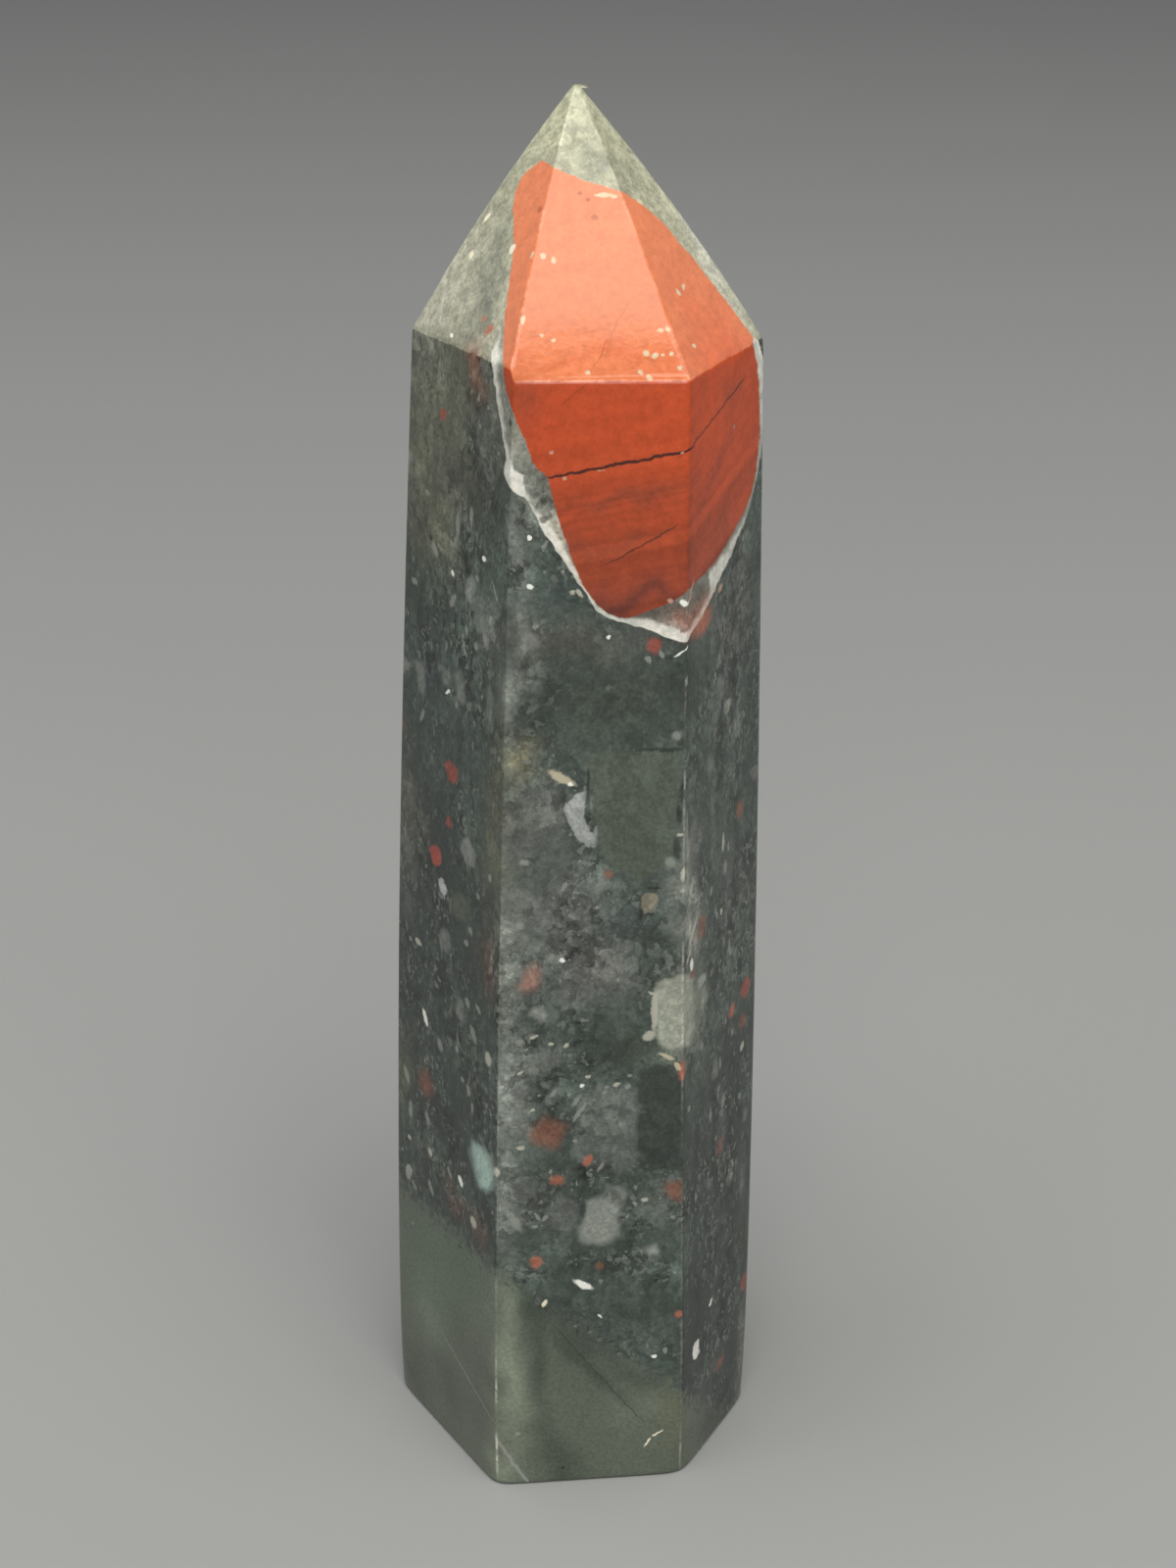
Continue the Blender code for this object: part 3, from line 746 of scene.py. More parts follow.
def lay_zones(places, tone, zones):
    """Shift the tone of each place towards the tint of the zones that it is in.

    A zone is an ellipsoid that is as deep as it is wide. Its weight is its strength times exp(-r^2),
    r being the way from its centre, each part divided by the half size along that axis. The way
    is bent by a smooth random field, so that no zone is a plain oval.
    """
    bend = np.stack([random_field(places, BEND_WAVE, seed) for seed in BEND_SEEDS], axis=1)
    bend = bend * BEND_HEIGHT * MM
    for centre, face, wide, tall, tint, strength, *turn in zones:
        half = np.array([wide, tall, max(wide, LEAST_ZONE_DEPTH)]) / 2 * MM
        way = places + bend * min(1.0, wide / FULLY_BENT) - centre
        reach = way @ face_axes(face, *turn).T / half
        weight = strength * np.exp(-(reach**2).sum(axis=1))
        tone += weight[:, None] * (np.array(TINTS[tint]) - tone)
    return tone


def chip_list(draw):
    """Every small chip: its centre, face, size, tint, softness and turn, seen ones first."""
    for tint, x, y, wide, tall, soft, *turn in CHIPS:
        yield (*on_stone(x, y), wide, tall, tint, soft, *turn)
    for tint, count in HIDDEN_CHIPS:
        growth = LARGE_GROWTH if tint in LARGE_KINDS else SMALL_GROWTH
        for _ in range(count):
            size = draw.uniform(*SIZE_ROOTS) ** 2 * growth
            wide, tall = size * draw.uniform(*CHIP_WIDTHS), size * draw.uniform(*CHIP_HEIGHTS)
            soft = draw.uniform(*CHIP_SOFTNESSES)
            yield (*hidden_place(draw), wide, tall, tint, soft, draw.uniform(*CHIP_TURNS))


def chip_fields(places, pixels, scale, seen):
    """Distance to the nearest clast or chip, its softness, and its tint with its strength.

    A chip is a block with six flat sides, and its distance is the greatest height above any side.
    Each side faces a sixth of a turn from the last one, give or take, and stands as far out as
    the chip's ellipse does there, or a little nearer.
    """
    draw = np.random.default_rng(MARKING_SEED)
    distance = np.full(len(places), FAR)
    softness = np.full(len(places), 0.1)
    tone = np.zeros((len(places), 4))

    def lay(where, value, soft, tint, strength):
        nearer = value < distance[where]
        chosen = where[nearer]
        distance[chosen] = value[nearer]
        softness[chosen] = soft
        tone[chosen] = [*TINTS[tint], strength]

    for centre, face, wide, tall, tint, soft, *turn in chip_list(draw):
        where = np.nonzero(np.linalg.norm(places - centre, axis=1) < CHIP_REACH * MM)[0]
        u, v, w = face_axes(face, *turn) @ (places[where] - centre).T / MM
        sides = np.arange(CHIP_CORNERS) + draw.uniform(-CORNER_SHIFT, CORNER_SHIFT, CHIP_CORNERS)
        angles = sides * 2 * np.pi / CHIP_CORNERS
        cosine, sine = np.cos(angles), np.sin(angles)
        stand = np.hypot(cosine * wide / 2, sine * tall / 2)
        stand = stand * draw.uniform(LEAST_STAND, 1.0, CHIP_CORNERS)
        above = u[:, None] * cosine + v[:, None] * sine - stand
        value = np.maximum(above.max(axis=1), np.abs(w) - CHIP_DEPTH)
        lay(where, value, soft, tint, CRISP_STRENGTH if soft < CRISP else SOFT_STRENGTH)
    every = np.arange(len(places))
    for tint, strength, soft, outline in OUTLINED_CLASTS:
        value, _ = outline_fields(pixels, outline)
        lay(every, np.where(seen, value * scale, FAR), soft, tint, strength)
    return distance, softness, tone


def share_between(height, span):
    """How far each height is on its way from the first end of a span to the second, 0 to 1."""
    start, end = span
    return np.clip((height - start) / (end - start), 0.0, 1.0)


def blended(first, second, share):
    """Tints a share of the way from one tint to another."""
    return np.array(TINTS[first]) * (1.0 - share[:, None]) + np.array(TINTS[second]) * share[:, None]


def marking_fields(places):
    """Every large marking of the stone as a named array with one value or colour for each place."""
    pixels, scale = in_photo(places)
    edge, own, other = edge_distance(places)
    seen = ((CAMERA_PLACE - places) * face_normals[own]).sum(axis=1) > 0.0
    height = places[:, 2] / MM
    draw = np.random.default_rng(MARKING_SEED)

    red, _ = outline_fields(pixels, RED_PATCH)
    rim, seam = outline_fields(pixels, RIM)

    facet = own >= FACES
    up = share_between(height, TONE_AND_SHADE_SPAN)
    # Each side's lightness is partly the stone's tone and partly painted shade. It is darker towards the
    # foot on the sides other than the front and the back.
    tone_and_shade = np.array(FOOT_TONE_AND_SHADE)[own % FACES] * (1.0 - up)
    tone_and_shade += np.array(SIDE_TONE_AND_SHADE)[own % FACES] * up
    cloud = random_field(places, CLOUD_WAVE, CLOUD_SEED)
    stone = np.array(TINTS["ground"]) * (tone_and_shade * (1.0 + STONE_CLOUD * cloud))[:, None]
    murk = MURKINESS * share_between(height, MURK_SPAN)[:, None]
    stone += murk * (np.array(TINTS["murk"]) - stone)
    # The facets are painted paler, partly as a painted sheen of the light that they mirror. Towards the
    # tip they are paler still: a painted glow of light through the thin stone.
    point = blended("point", "tip", share_between(height, TIP_GLOW_SPAN))
    stone = np.where(facet[:, None], point * (1.0 + POINT_CLOUD * cloud)[:, None], stone)
    stone = lay_zones(places, stone, all_zones(draw))
    front = own == FRONT
    stone[front] = lay_zones(places[front], stone[front], placed(FRONT_ZONES))

    litter = LITTER_MIDDLE + LITTER_SPREAD * random_field(places, LITTER_WAVE, LITTER_SEED)
    litter = np.tile(np.clip(litter, *LITTER_LIMITS)[:, None], (1, 3))
    litter = lay_zones(places, litter, placed(LITTER_ZONES))[:, 0]
    foot = np.broadcast_to(TINTS["foot"], stone.shape) * (1.0 + FOOT_CLOUD * cloud)[:, None]
    foot = lay_zones(places, foot, placed(FOOT_ZONES))
    rim_tone = np.tile(np.array(TINTS["rim"]), (len(places), 1))
    rim_tone = lay_zones(places, rim_tone, placed(RIM_ZONES))
    jasper = blended("jasper", "jasper low", share_between(height, JASPER_SPAN))
    # The facets' jasper is painted paler and more orange: a painted sheen.
    jasper = np.where(facet[:, None], np.array(TINTS["jasper with painted sheen"]), jasper)
    jasper = lay_zones(places, jasper, placed(JASPER_ZONES))

    chip, chip_softness, chip_tone = chip_fields(places, pixels, scale, seen)
    return {
        "edge": edge,
        "wear_and_glint": edge_wear_and_glint(places, own, other),
        "point": facet.astype(float),
        "litter": litter,
        "red": np.where(seen, red * scale, FAR),
        "rim": np.where(seen, rim * scale, FAR),
        "seam": seam * scale,
        "chip": chip,
        "chip_softness": chip_softness,
        "chip_tone": chip_tone,
        "stone_tone": stone,
        "foot_tone": foot,
        "rim_tone": rim_tone,
        "jasper_tone": jasper,
    }


def store_fields(mesh, fields):
    """Keep each field in the mesh: a value as a float attribute, a colour as a colour attribute."""
    for name, values in fields.items():
        if values.ndim == 1:
            attribute = mesh.attributes.new(name, "FLOAT", "POINT")
            attribute.data.foreach_set("value", values.astype(np.float32))
            continue
        colour = np.ones((len(values), 4), dtype=np.float32)
        colour[:, :values.shape[1]] = values
        attribute = mesh.attributes.new(name, "FLOAT_COLOR", "POINT")
        attribute.data.foreach_set("color", colour.ravel())


# Nodes

BEDDING = (1.0, 1.8, 0.78)      # stretch of space in which the flat, upright clasts are round

# Noises on the place in millimetres: scale, detail and roughness.
NOISES = {
    "bend": (0.8, 3.0, 0.6), "smoke": (1.6, 4.0, 0.66), "milk": (1.4, 4.0, 0.7),
    "jitter": (1.3, 3.0, 0.6), "wobble": (1.7, 4.0, 0.62), "grain": (4.2, 3.0, 0.75),
    "beds": (0.70, 3.0, 0.6), "polish": (3.0, 2.0, 0.6),
}
LARGE_CLASTS, SMALL_CLASTS, SHARDS, CHIPPING = 0.42, 1.25, 3.0, 5.0  # cells per millimetre
BEND, JITTER = 1.5, 0.42        # reach of the bent bedding and of the fine jitter, mm
CHIPPED = 0.35                  # how far places are drawn to the middles of the chipping's cells

# Smooth steps: two values, and what each gives (0 and 1 where nothing is said).
STEPS = {
    "large clasts": (0.0, 1.0, 0.82, 1.20), "small clasts": (0.0, 1.0, 0.80, 1.22),
    "shards": (0.0, 1.0, 0.88, 1.12), "clast borders": (0.40, 0.75, 1.04, 0.86),
    "smoke": (0.30, 0.70, 0.78, 1.24), "contrast": (0.05, 1.0, 0.55, 1.5),
    "milk": (0.34, 0.66, 0.76, 1.28), "stone grain": (0.22, 0.78, 0.72, 1.28),
    "light shards": (0.82, 0.96, 0.0, 0.9), "dark clasts": (0.84, 0.94, 0.0, 0.34),
    "chip shade": (0.45, 1.65, 0.78, 1.22), "chip grain": (0.24, 0.76, 0.90, 1.12),
    "chip border": (1.0, -1.0), "foot grain": (0.24, 0.76, 0.80, 1.22), "foot bed": (0.70, -0.90),
    "rim": (0.05, -0.06, 0.0, 0.96), "seam outside": (0.05, -0.04), "seam inside": (-0.16, 0.10),
    "seam ends": (0.02, 0.10), "wide seam": (0.20, 0.45, 0.0, 0.75),
    "seam shade": (-0.16, 0.14, 0.74, 1.06), "bedded heights": (74.0, 66.0, 0.15, 0.75),
    "beds": (0.34, 0.64, 1.12, 0.75), "mottle": (-0.22, 0.22, 0.89, 1.10),
    "jasper grain": (0.24, 0.76, 0.91, 1.09), "red": (0.04, -0.06), "worn edge": (0.17, 0.01),
    "wear speckle": (-0.10, 0.10, 0.25, 1.0), "roughness": (-0.2, 0.2, 0.07, 0.13),
    "vein ends": (0.0, 0.3),
}

# A vein has its full width up to this share of its reach. Across, it is solid up to a share of its
# half width, and gone at a larger share of it plus a least amount (mm).
VEIN_FULL, VEIN_INNER, VEIN_OUTER, VEIN_LEAST = 0.6, 0.5, 1.5, 0.004
FLECK_LEAST, FLECK_CORE = 0.3, 0.6  # the least size of a fleck, and how much of it is solid

# Scattered light shards: cells per millimetre, share of the cells, size, tint and strength.
SCATTERED = (
    (1.0, 0.16, 0.42, "grey", 0.55), (1.9, 0.10, 0.46, "smoke", 0.75),
    (3.4, 0.08, 0.44, "smoke", 0.60),
)
LITTERED = (0.1, 0.7, 0.15)     # from little to much litter, and the strength at little

# How far the coarse noise moves each border, mm.
CHIP_RAGGED, CHIP_GRAINY, FOOT_RAGGED = 0.42, 0.40, 4.5
RIM_RAGGED, RED_RAGGED, EDGE_RAGGED = 0.30, 0.22, 0.16
# How much a thin seam and a worn edge with its painted highlight are whitened, and how much the tint under
# them is lifted.
THIN_SEAM_WHITE, THIN_SEAM_LIFT = 0.55, 1.7
GLINT_AND_WEAR_WHITE, GLINT_AND_WEAR_LIFT = 0.5, 1.7
GLINT_AND_WEAR_STRENGTH, WORN_ROUGHNESS = 0.9, 0.25
QUARTZ_IOR, SPECULAR = 1.54, 0.25
POLISH_BUMP, POLISH_DEPTH = 0.25, 0.00002  # strength of the polish's unevenness, and its depth in m


def opaque(tint):
    """A tint as a colour that a socket takes."""
    return (*TINTS[tint], 1.0)


class Board:
    """A node tree that nodes are added to. An input is a socket to link from, or a constant."""

    def __init__(self, tree):
        self.tree = tree

    def add(self, kind, inputs=(), **settings):
        node = self.tree.nodes.new("ShaderNode" + kind)
        for name, value in settings.items():
            setattr(node, name, value)
        for name, value in dict(inputs).items():
            self.feed(node.inputs[name], value)
        return node

    def feed(self, socket, value):
        if isinstance(value, bpy.types.NodeSocket):
            self.tree.links.new(value, socket)
        else:
            socket.default_value = value

    def maths(self, operation, *values):
        return self.add("Math", enumerate(values), operation=operation).outputs[0]

    def times(self, first, second):
        return self.maths("MULTIPLY", first, second)

    def plus(self, first, second):
        return self.maths("ADD", first, second)

    def minus(self, first, second):
        return self.maths("SUBTRACT", first, second)

    def vector(self, operation, *values):
        node = self.add("VectorMath", enumerate(values), operation=operation)
        return node.outputs["Value" if operation in ("LENGTH", "DOT_PRODUCT") else "Vector"]

    def scaled(self, vector, factor):
        node = self.add("VectorMath", {0: vector}, operation="SCALE")
        self.feed(node.inputs["Scale"], factor)
        return node.outputs[0]

    def ramp(self, value, low, high, to_low=0.0, to_high=1.0):
        """A smooth step: to_low where the value is at or past low, to_high at or past high."""
        inputs = {"Value": value, "From Min": low, "From Max": high, "To Min": to_low, "To Max": to_high}
        return self.add("MapRange", inputs, interpolation_type="SMOOTHSTEP").outputs["Result"]

    def step(self, value, name):
        return self.ramp(value, *STEPS[name])

    def mix(self, factor, under, over):
        return self.add("Mix", {0: factor, 6: under, 7: over}, data_type="RGBA").outputs[2]

    def mix_vectors(self, factor, under, over):
        return self.add("Mix", {0: factor, 4: under, 5: over}, data_type="VECTOR").outputs[1]

    def mix_values(self, factor, under, over):
        return self.add("Mix", {0: factor, 2: under, 3: over}).outputs[0]

    def noise(self, place, name, out=0):
        scale, detail, roughness = NOISES[name]
        inputs = {"Vector": place, "Scale": scale, "Detail": detail, "Roughness": roughness}
        return self.add("TexNoise", inputs).outputs[out]

    def strata(self, height, name):
        """Noise that changes along one line only."""
        scale, detail, roughness = NOISES[name]
        inputs = {"W": height, "Scale": scale, "Detail": detail, "Roughness": roughness}
        return self.add("TexNoise", inputs, noise_dimensions="1D").outputs[0]

    def shifted(self, place, name, reach):
        """Places moved by up to half the reach along each axis, by the colours of a noise."""
        shift = self.vector("SUBTRACT", self.noise(place, name, out=1), (0.5, 0.5, 0.5))
        return self.vector("ADD", place, self.scaled(shift, reach))

    def cells(self, place, scale, distance="EUCLIDEAN"):
        return self.add("TexVoronoi", {"Vector": place, "Scale": scale}, distance=distance).outputs

    def chances(self, cells):
        """Three random numbers for each cell."""
        return self.add("SeparateColor", {0: cells["Color"]}).outputs

    def group(self, tree, inputs):
        node = self.tree.nodes.new("ShaderNodeGroup")
        node.node_tree = tree
        for name, value in inputs.items():
            self.feed(node.inputs[name], value)
        return node.outputs


def new_group(name, inputs, outputs):
    """An empty node group with named sockets, and the sockets inside it to build between."""
    tree = bpy.data.node_groups.new(name, "ShaderNodeTree")
    for way, sockets in (("INPUT", inputs), ("OUTPUT", outputs)):
        for socket_name, kind in sockets.items():
            tree.interface.new_socket(socket_name, in_out=way, socket_type="NodeSocket" + kind)
    given = tree.nodes.new("NodeGroupInput").outputs
    result = tree.nodes.new("NodeGroupOutput").inputs
    return tree, Board(tree), given, result


def vein_group():
    """Mask of one vein or healed crack: a thin flat sheet, as far as it reaches from its middle."""
    tree, board, given, result = new_group("vein", {
        "Place": "Vector", "Middle": "Vector", "Normal": "Vector", "Half Width": "Float", "Reach": "Float",
    }, {"Mask": "Float"})
    offset = board.vector("SUBTRACT", given["Place"], given["Middle"])
    away = board.maths("ABSOLUTE", board.vector("DOT_PRODUCT", offset, given["Normal"]))
    far = board.vector("LENGTH", offset)
    taper = board.ramp(far, given["Reach"], board.times(given["Reach"], VEIN_FULL))
    width = board.times(given["Half Width"], taper)
    outer = board.plus(board.times(width, VEIN_OUTER), VEIN_LEAST)
    thin = board.ramp(away, outer, board.times(width, VEIN_INNER))
    board.feed(result["Mask"], board.times(thin, board.step(taper, "vein ends")))
    return tree


def breccia_group():
    """Colour of the broken jasper: its tone, shaded clast by clast, with grit and small shards.

    The clasts are flat and lie along the front, so sides that cross the bedding look streaky. Each
    shade is a smooth step of a random number, a distance or a noise, and the shades are multiplied.
    """
    tree, board, given, result = new_group("breccia", {
        "Place": "Vector", "Tone": "Color", "Point": "Float", "Litter": "Float", "Grain": "Float",
    }, {"Color": "Color", "Shade": "Float"})
    warped = board.vector("MULTIPLY", board.shifted(given["Place"], "bend", BEND), BEDDING)
    clast = board.chances(board.cells(warped, LARGE_CLASTS))
    pieces = board.cells(warped, SMALL_CLASTS)
    small = board.chances(pieces)
    shard = board.chances(board.cells(warped, SHARDS))
    shade = board.step(clast[0], "large clasts")
    for value, name in (
        (small[0], "small clasts"), (shard[0], "shards"), (pieces["Distance"], "clast borders"),
    ):
        shade = board.times(shade, board.step(value, name))
    smoke = board.noise(given["Place"], "smoke")
    shade = board.times(shade, board.step(smoke, "smoke"))
    contrast = board.step(given["Litter"], "contrast")
    shade = board.maths("MULTIPLY_ADD", board.minus(shade, 1.0), contrast, 1.0)
    milky = board.step(board.noise(given["Place"], "milk"), "milk")
    shade = board.mix_values(given["Point"], shade, milky)
    shade = board.times(shade, board.step(given["Grain"], "stone grain"))
    colour = board.scaled(given["Tone"], shade)
    in_body = board.minus(1.0, given["Point"])
    light = board.step(shard[1], "light shards")
    light = board.times(light, board.times(given["Litter"], in_body))
    colour = board.mix(light, colour, opaque("grey"))
    dark = board.times(board.step(small[1], "dark clasts"), in_body)
    colour = board.mix(dark, colour, opaque("dark"))
    board.feed(result["Color"], colour)
    board.feed(result["Shade"], shade)
    return tree


def fleck_group():
    """Mask of sparse small flecks: the middles of some of the cells that space is parted into.

    Distance is summed axis by axis, which gives the flecks corners.
    """
    tree, board, given, result = new_group("flecks", {
        "Place": "Vector", "Scale": "Float", "Share": "Float", "Size": "Float",
    }, {"Mask": "Float"})
    cell = board.cells(given["Place"], given["Scale"], distance="MANHATTAN")
    chance = board.chances(cell)
    chosen = board.maths("LESS_THAN", chance[0], given["Share"])
    size = board.times(given["Size"], board.plus(chance[1], FLECK_LEAST))
    near = board.ramp(cell["Distance"], size, board.times(size, FLECK_CORE))
    board.feed(result["Mask"], board.times(chosen, near))
    return tree


# Specks too small for the mesh's own points, by tint and blur (0.3 crisp, 0.5 soft), the lowest
# laid first: photo pixel, width and height on the stone (mm) and, where turned, degrees.
SPECKS = {
    ("black", 0.4): (
        (677, 765, 2.4, 0.3), (600, 797, 0.22, 1.6), (521, 432, 0.26, 0.4), (620, 1191, 0.36, 0.5, 30),
        (555, 511, 0.4, 0.45), (554, 530, 0.46, 0.4), (697, 806, 0.3, 1.6), (594, 1156, 0.5, 0.3, 30),
        (608, 930, 0.6, 0.3, 30), (574, 1498, 0.26, 0.22), (693, 830, 0.3, 1.2), (691, 866, 0.45, 1.4),
        (440, 548, 0.45, 0.4), (464, 597, 0.2, 0.8), (482, 627, 0.4, 0.5), (654, 932, 0.24, 0.9),
        (668, 906, 0.8, 0.2), (595, 1234, 0.4, 1.2), (490, 1166, 0.5, 0.3),
    ),
    ("jasper low", 0.4): (
        (607, 222, 0.34, 0.36), (592, 197, 0.26, 0.26), (600, 204, 0.3, 0.26), (551, 214, 0.34, 0.34),
    ),
    ("rust", 0.5): (
        (612, 1292, 0.55, 0.55), (741, 724, 0.3, 0.3), (621, 892, 0.6, 0.6), (707, 993, 0.9, 0.6),
    ),
    ("orange", 0.4): (
        (600, 1184, 0.5, 0.75, -30), (693, 1341, 0.45, 0.6), (696, 1093, 0.55, 1.3),
        (494, 325, 0.34, 0.34),
    ),
    ("smoke", 0.5): (
        (556, 556, 0.24, 0.5, -30), (691, 751, 0.55, 0.6), (684, 880, 0.6, 0.7, 30),
        (535, 880, 0.6, 0.4), (530, 945, 0.5, 0.5), (505, 236, 0.34, 0.3), (617, 172, 0.26, 0.26),
        (740, 885, 0.5, 0.9), (731, 932, 0.3, 0.9, 30), (467, 536, 0.4, 1.3), (481, 528, 0.35, 1.2),
        (495, 653, 0.5, 0.7, 30), (431, 730, 0.3, 1, -30), (480, 950, 0.45, 0.5),
        (449, 1066, 0.6, 0.9, 30), (482, 1131, 0.3, 0.8), (733, 1115, 0.22, 1.3), (725, 1138, 0.3, 1),
        (738, 1122, 0.4, 0.9), (716, 1068, 0.4, 0.6), (747, 1186, 0.3, 0.7, 30), (530, 1064, 0.5, 0.5),
        (588, 1123, 0.3, 0.9, -30), (565, 1115, 0.26, 0.7, -30), (524, 1245, 0.5, 1.9, 30),
        (687, 1242, 0.3, 0.26), (712, 925, 0.26, 1.4, -30), (701, 905, 0.3, 1.2),
        (703, 940, 0.5, 1.4, -30), (701, 850, 0.3, 2.6),
    ),
    ("smoke", 0.3): (
        (462, 613, 0.45, 1.1, -30), (743, 864, 0.28, 0.75), (619, 1109, 0.3, 0.24),
        (617, 1115, 0.3, 0.2, 30), (641, 1109, 0.4, 0.3), (643, 1097, 0.26, 0.26),
        (556, 1243, 0.26, 0.5, -30), (679, 1378, 0.3, 0.5), (528, 1463, 0.34, 0.26),
        (419, 958, 0.4, 0.35), (500, 896, 0.4, 0.5), (711, 938, 0.24, 1.5, -30),
        (704, 962, 0.24, 1.6, -30), (675, 668, 0.5, 0.24, -60), (661, 673, 0.45, 0.3, -60),
        (574, 583, 0.22, 0.22), (701, 695, 0.26, 0.5), (576, 905, 0.3, 0.7, -30), (749, 436, 0.2, 0.24),
        (745, 970, 0.3, 0.9, 30), (726, 909, 0.35, 0.6), (444, 561, 0.45, 0.95, 30),
        (461, 555, 0.5, 0.3, -30), (423, 593, 0.7, 0.4), (487, 590, 0.4, 0.3, -30),
        (505, 604, 0.2, 1.4, 30), (476, 643, 0.35, 0.6), (474, 661, 0.22, 1.4, 30),
        (486, 660, 0.4, 0.5, 30), (436, 503, 0.4, 0.3), (488, 915, 0.35, 0.5, 30), (476, 963, 0.5, 0.4),
        (477, 1023, 0.5, 0.7, 30), (488, 1030, 0.7, 0.4, -30), (483, 1056, 0.6, 1.2, 30),
        (466, 1070, 0.4, 0.5), (472, 1102, 0.4, 0.4, -30), (478, 1113, 0.45, 0.8),
        (415, 1096, 0.6, 1.2, 30), (419, 1131, 0.45, 1.3), (436, 1141, 0.4, 0.9, 30),
        (423, 1209, 0.8, 0.3, -30), (459, 1197, 0.3, 1, 30), (440, 1212, 0.5, 1.1, 30),
        (421, 1248, 0.35, 0.25), (735, 1085, 0.25, 0.9), (747, 1053, 0.25, 0.6),
        (745, 1119, 0.35, 0.25), (703, 1132, 0.4, 0.5), (710, 1222, 0.3, 0.6), (746, 1199, 0.6, 0.4),
        (763, 1096, 0.3, 0.2), (591, 1135, 0.26, 1.5, -30), (512, 1206, 0.3, 0.2),
        (562, 1196, 0.24, 0.3), (587, 1164, 0.3, 0.2), (613, 1190, 0.2, 0.9, -30),
        (548, 1241, 0.2, 0.8, 30), (546, 1252, 0.4, 0.24),
    ),
    ("fleck", 0.3): (
        (616, 199, 1, 0.26), (627, 201, 0.4, 0.26), (653, 206, 0.5, 0.26, -30), (554, 261, 0.34, 0.28),
        (565, 265, 0.24, 0.4), (543, 260, 0.24, 0.34), (534, 327, 0.26, 0.46), (553, 342, 0.3, 0.2),
        (565, 347, 0.24, 0.22), (674, 337, 0.34, 0.28), (681, 336, 0.24, 0.28), (659, 361, 0.36, 0.34),
        (668, 363, 0.44, 0.26, 30), (676, 362, 0.24, 0.2), (685, 361, 0.22, 0.2),
        (663, 385, 0.42, 0.28, -30), (653, 380, 0.22, 0.26), (692, 298, 0.3, 0.46, 30),
        (698, 293, 0.5, 0.24, 30), (708, 353, 0.34, 0.24), (694, 376, 0.28, 0.26),
        (600, 380, 0.3, 0.24),
    ),
    ("cream", 0.3): (
        (497, 222, 0.7, 0.26, 60), (481, 260, 0.4, 0.45), (523, 254, 0.4, 0.6),
        (556, 1330, 0.3, 0.6, -30), (661, 1471, 0.8, 0.17, 60), (671, 1462, 0.85, 0.17, 30),
    ),
    ("flesh", 0.4): (
        (563, 462, 0.22, 0.22), (576, 488, 0.2, 0.22), (612, 480, 0.5, 0.12), (697, 462, 0.2, 0.2),
        (705, 605, 1.5, 0.2, 60), (684, 613, 0.36, 0.26), (735, 600, 0.55, 0.45),
    ),
    ("sand", 0.3): (
        (573, 794, 1.8, 0.52, -30), (680, 1078, 1, 0.26, -30), (691, 1088, 0.7, 0.3, -60),
    ),
    ("milk", 0.3): (
        (668, 1032, 0.42, 2.8), (662, 1057, 0.9, 0.6, 30), (666, 1014, 0.6, 0.2, -30),
        (697, 893, 0.3, 0.95), (738, 859, 0.3, 1.25), (736, 930, 0.4, 0.45, 30), (694, 852, 0.36, 0.22),
        (427, 961, 0.8, 0.42), (439, 1176, 0.5, 0.6, 30), (418, 1161, 0.45, 0.35),
        (757, 1068, 0.5, 0.65, -30), (545, 1058, 0.6, 0.24, 30), (562, 1066, 0.32, 0.18),
        (578, 1067, 0.34, 0.3, 30), (600, 1099, 0.34, 0.2), (630, 1106, 0.5, 0.24, 30),
        (531, 1171, 0.5, 0.34), (658, 1224, 0.42, 0.3), (483, 1247, 0.7, 0.85, 30),
        (591, 606, 0.3, 0.55, 30), (584, 605, 0.3, 0.34), (498, 1081, 0.7, 0.95),
        (531, 1095, 0.38, 0.18, 30), (512, 1110, 0.28, 0.24, 30), (544, 1133, 0.38, 0.16, 30),
        (507, 1196, 0.4, 0.6), (707, 951, 0.28, 1.9, -30), (703, 975, 0.24, 1.4, -30),
    ),
    ("white", 0.3): (
        (595, 1311, 1.3, 0.48, -30), (434, 1038, 0.5, 1.2, 30), (582, 801, 0.36, 0.26),
        (457, 706, 0.55, 0.22, 30), (462, 585, 0.35, 0.32), (494, 570, 0.45, 0.3),
        (573, 980, 0.34, 0.34), (594, 1108, 0.26, 0.26), (612, 1343, 0.4, 0.2, -60),
        (667, 1384, 0.34, 0.3), (725, 1329, 0.55, 0.34, 60), (706, 984, 0.45, 0.8),
        (694, 667, 0.75, 0.15, 30), (701, 661, 0.42, 0.15, 60), (621, 650, 0.26, 0.26),
        (540, 549, 0.26, 0.24), (541, 599, 0.34, 0.28), (461, 342, 0.34, 0.26),
        (698, 616, 0.55, 0.34, -30), (470, 1205, 0.45, 0.8, 30),
    ),
}
SPECK_DEPTH = 0.7               # half of how deep a speck reaches into the stone, mm
SPECK_STRENGTH = {
    "black": 0.68, "jasper low": 0.60, "rust": 0.65, "orange": 0.75, "smoke": 0.70, "fleck": 0.85,
    "flesh": 0.70, "milk": 0.80,
}
OTHER_STRENGTH = 0.95

# Veins and healed cracks: kind, two or three photo pixels that it runs through, half width (mm).
VEINS = (
    ("crack", ((561, 487), (703, 460)), 0.085),
    ("thread", ((703, 460), (757, 389)), 0.065),
    ("thread", ((622, 574), (690, 537)), 0.055),
    ("scratch", ((573, 414), (596, 392)), 0.030),
    ("scratch", ((637, 315), (604, 378)), 0.020),
    ("pale", ((507, 1470), (541, 1516)), 0.125),
    ("pale", ((453, 1363), (502, 1449)), 0.040),
    ("dark", ((567, 1355), (652, 1447)), 0.055),
)

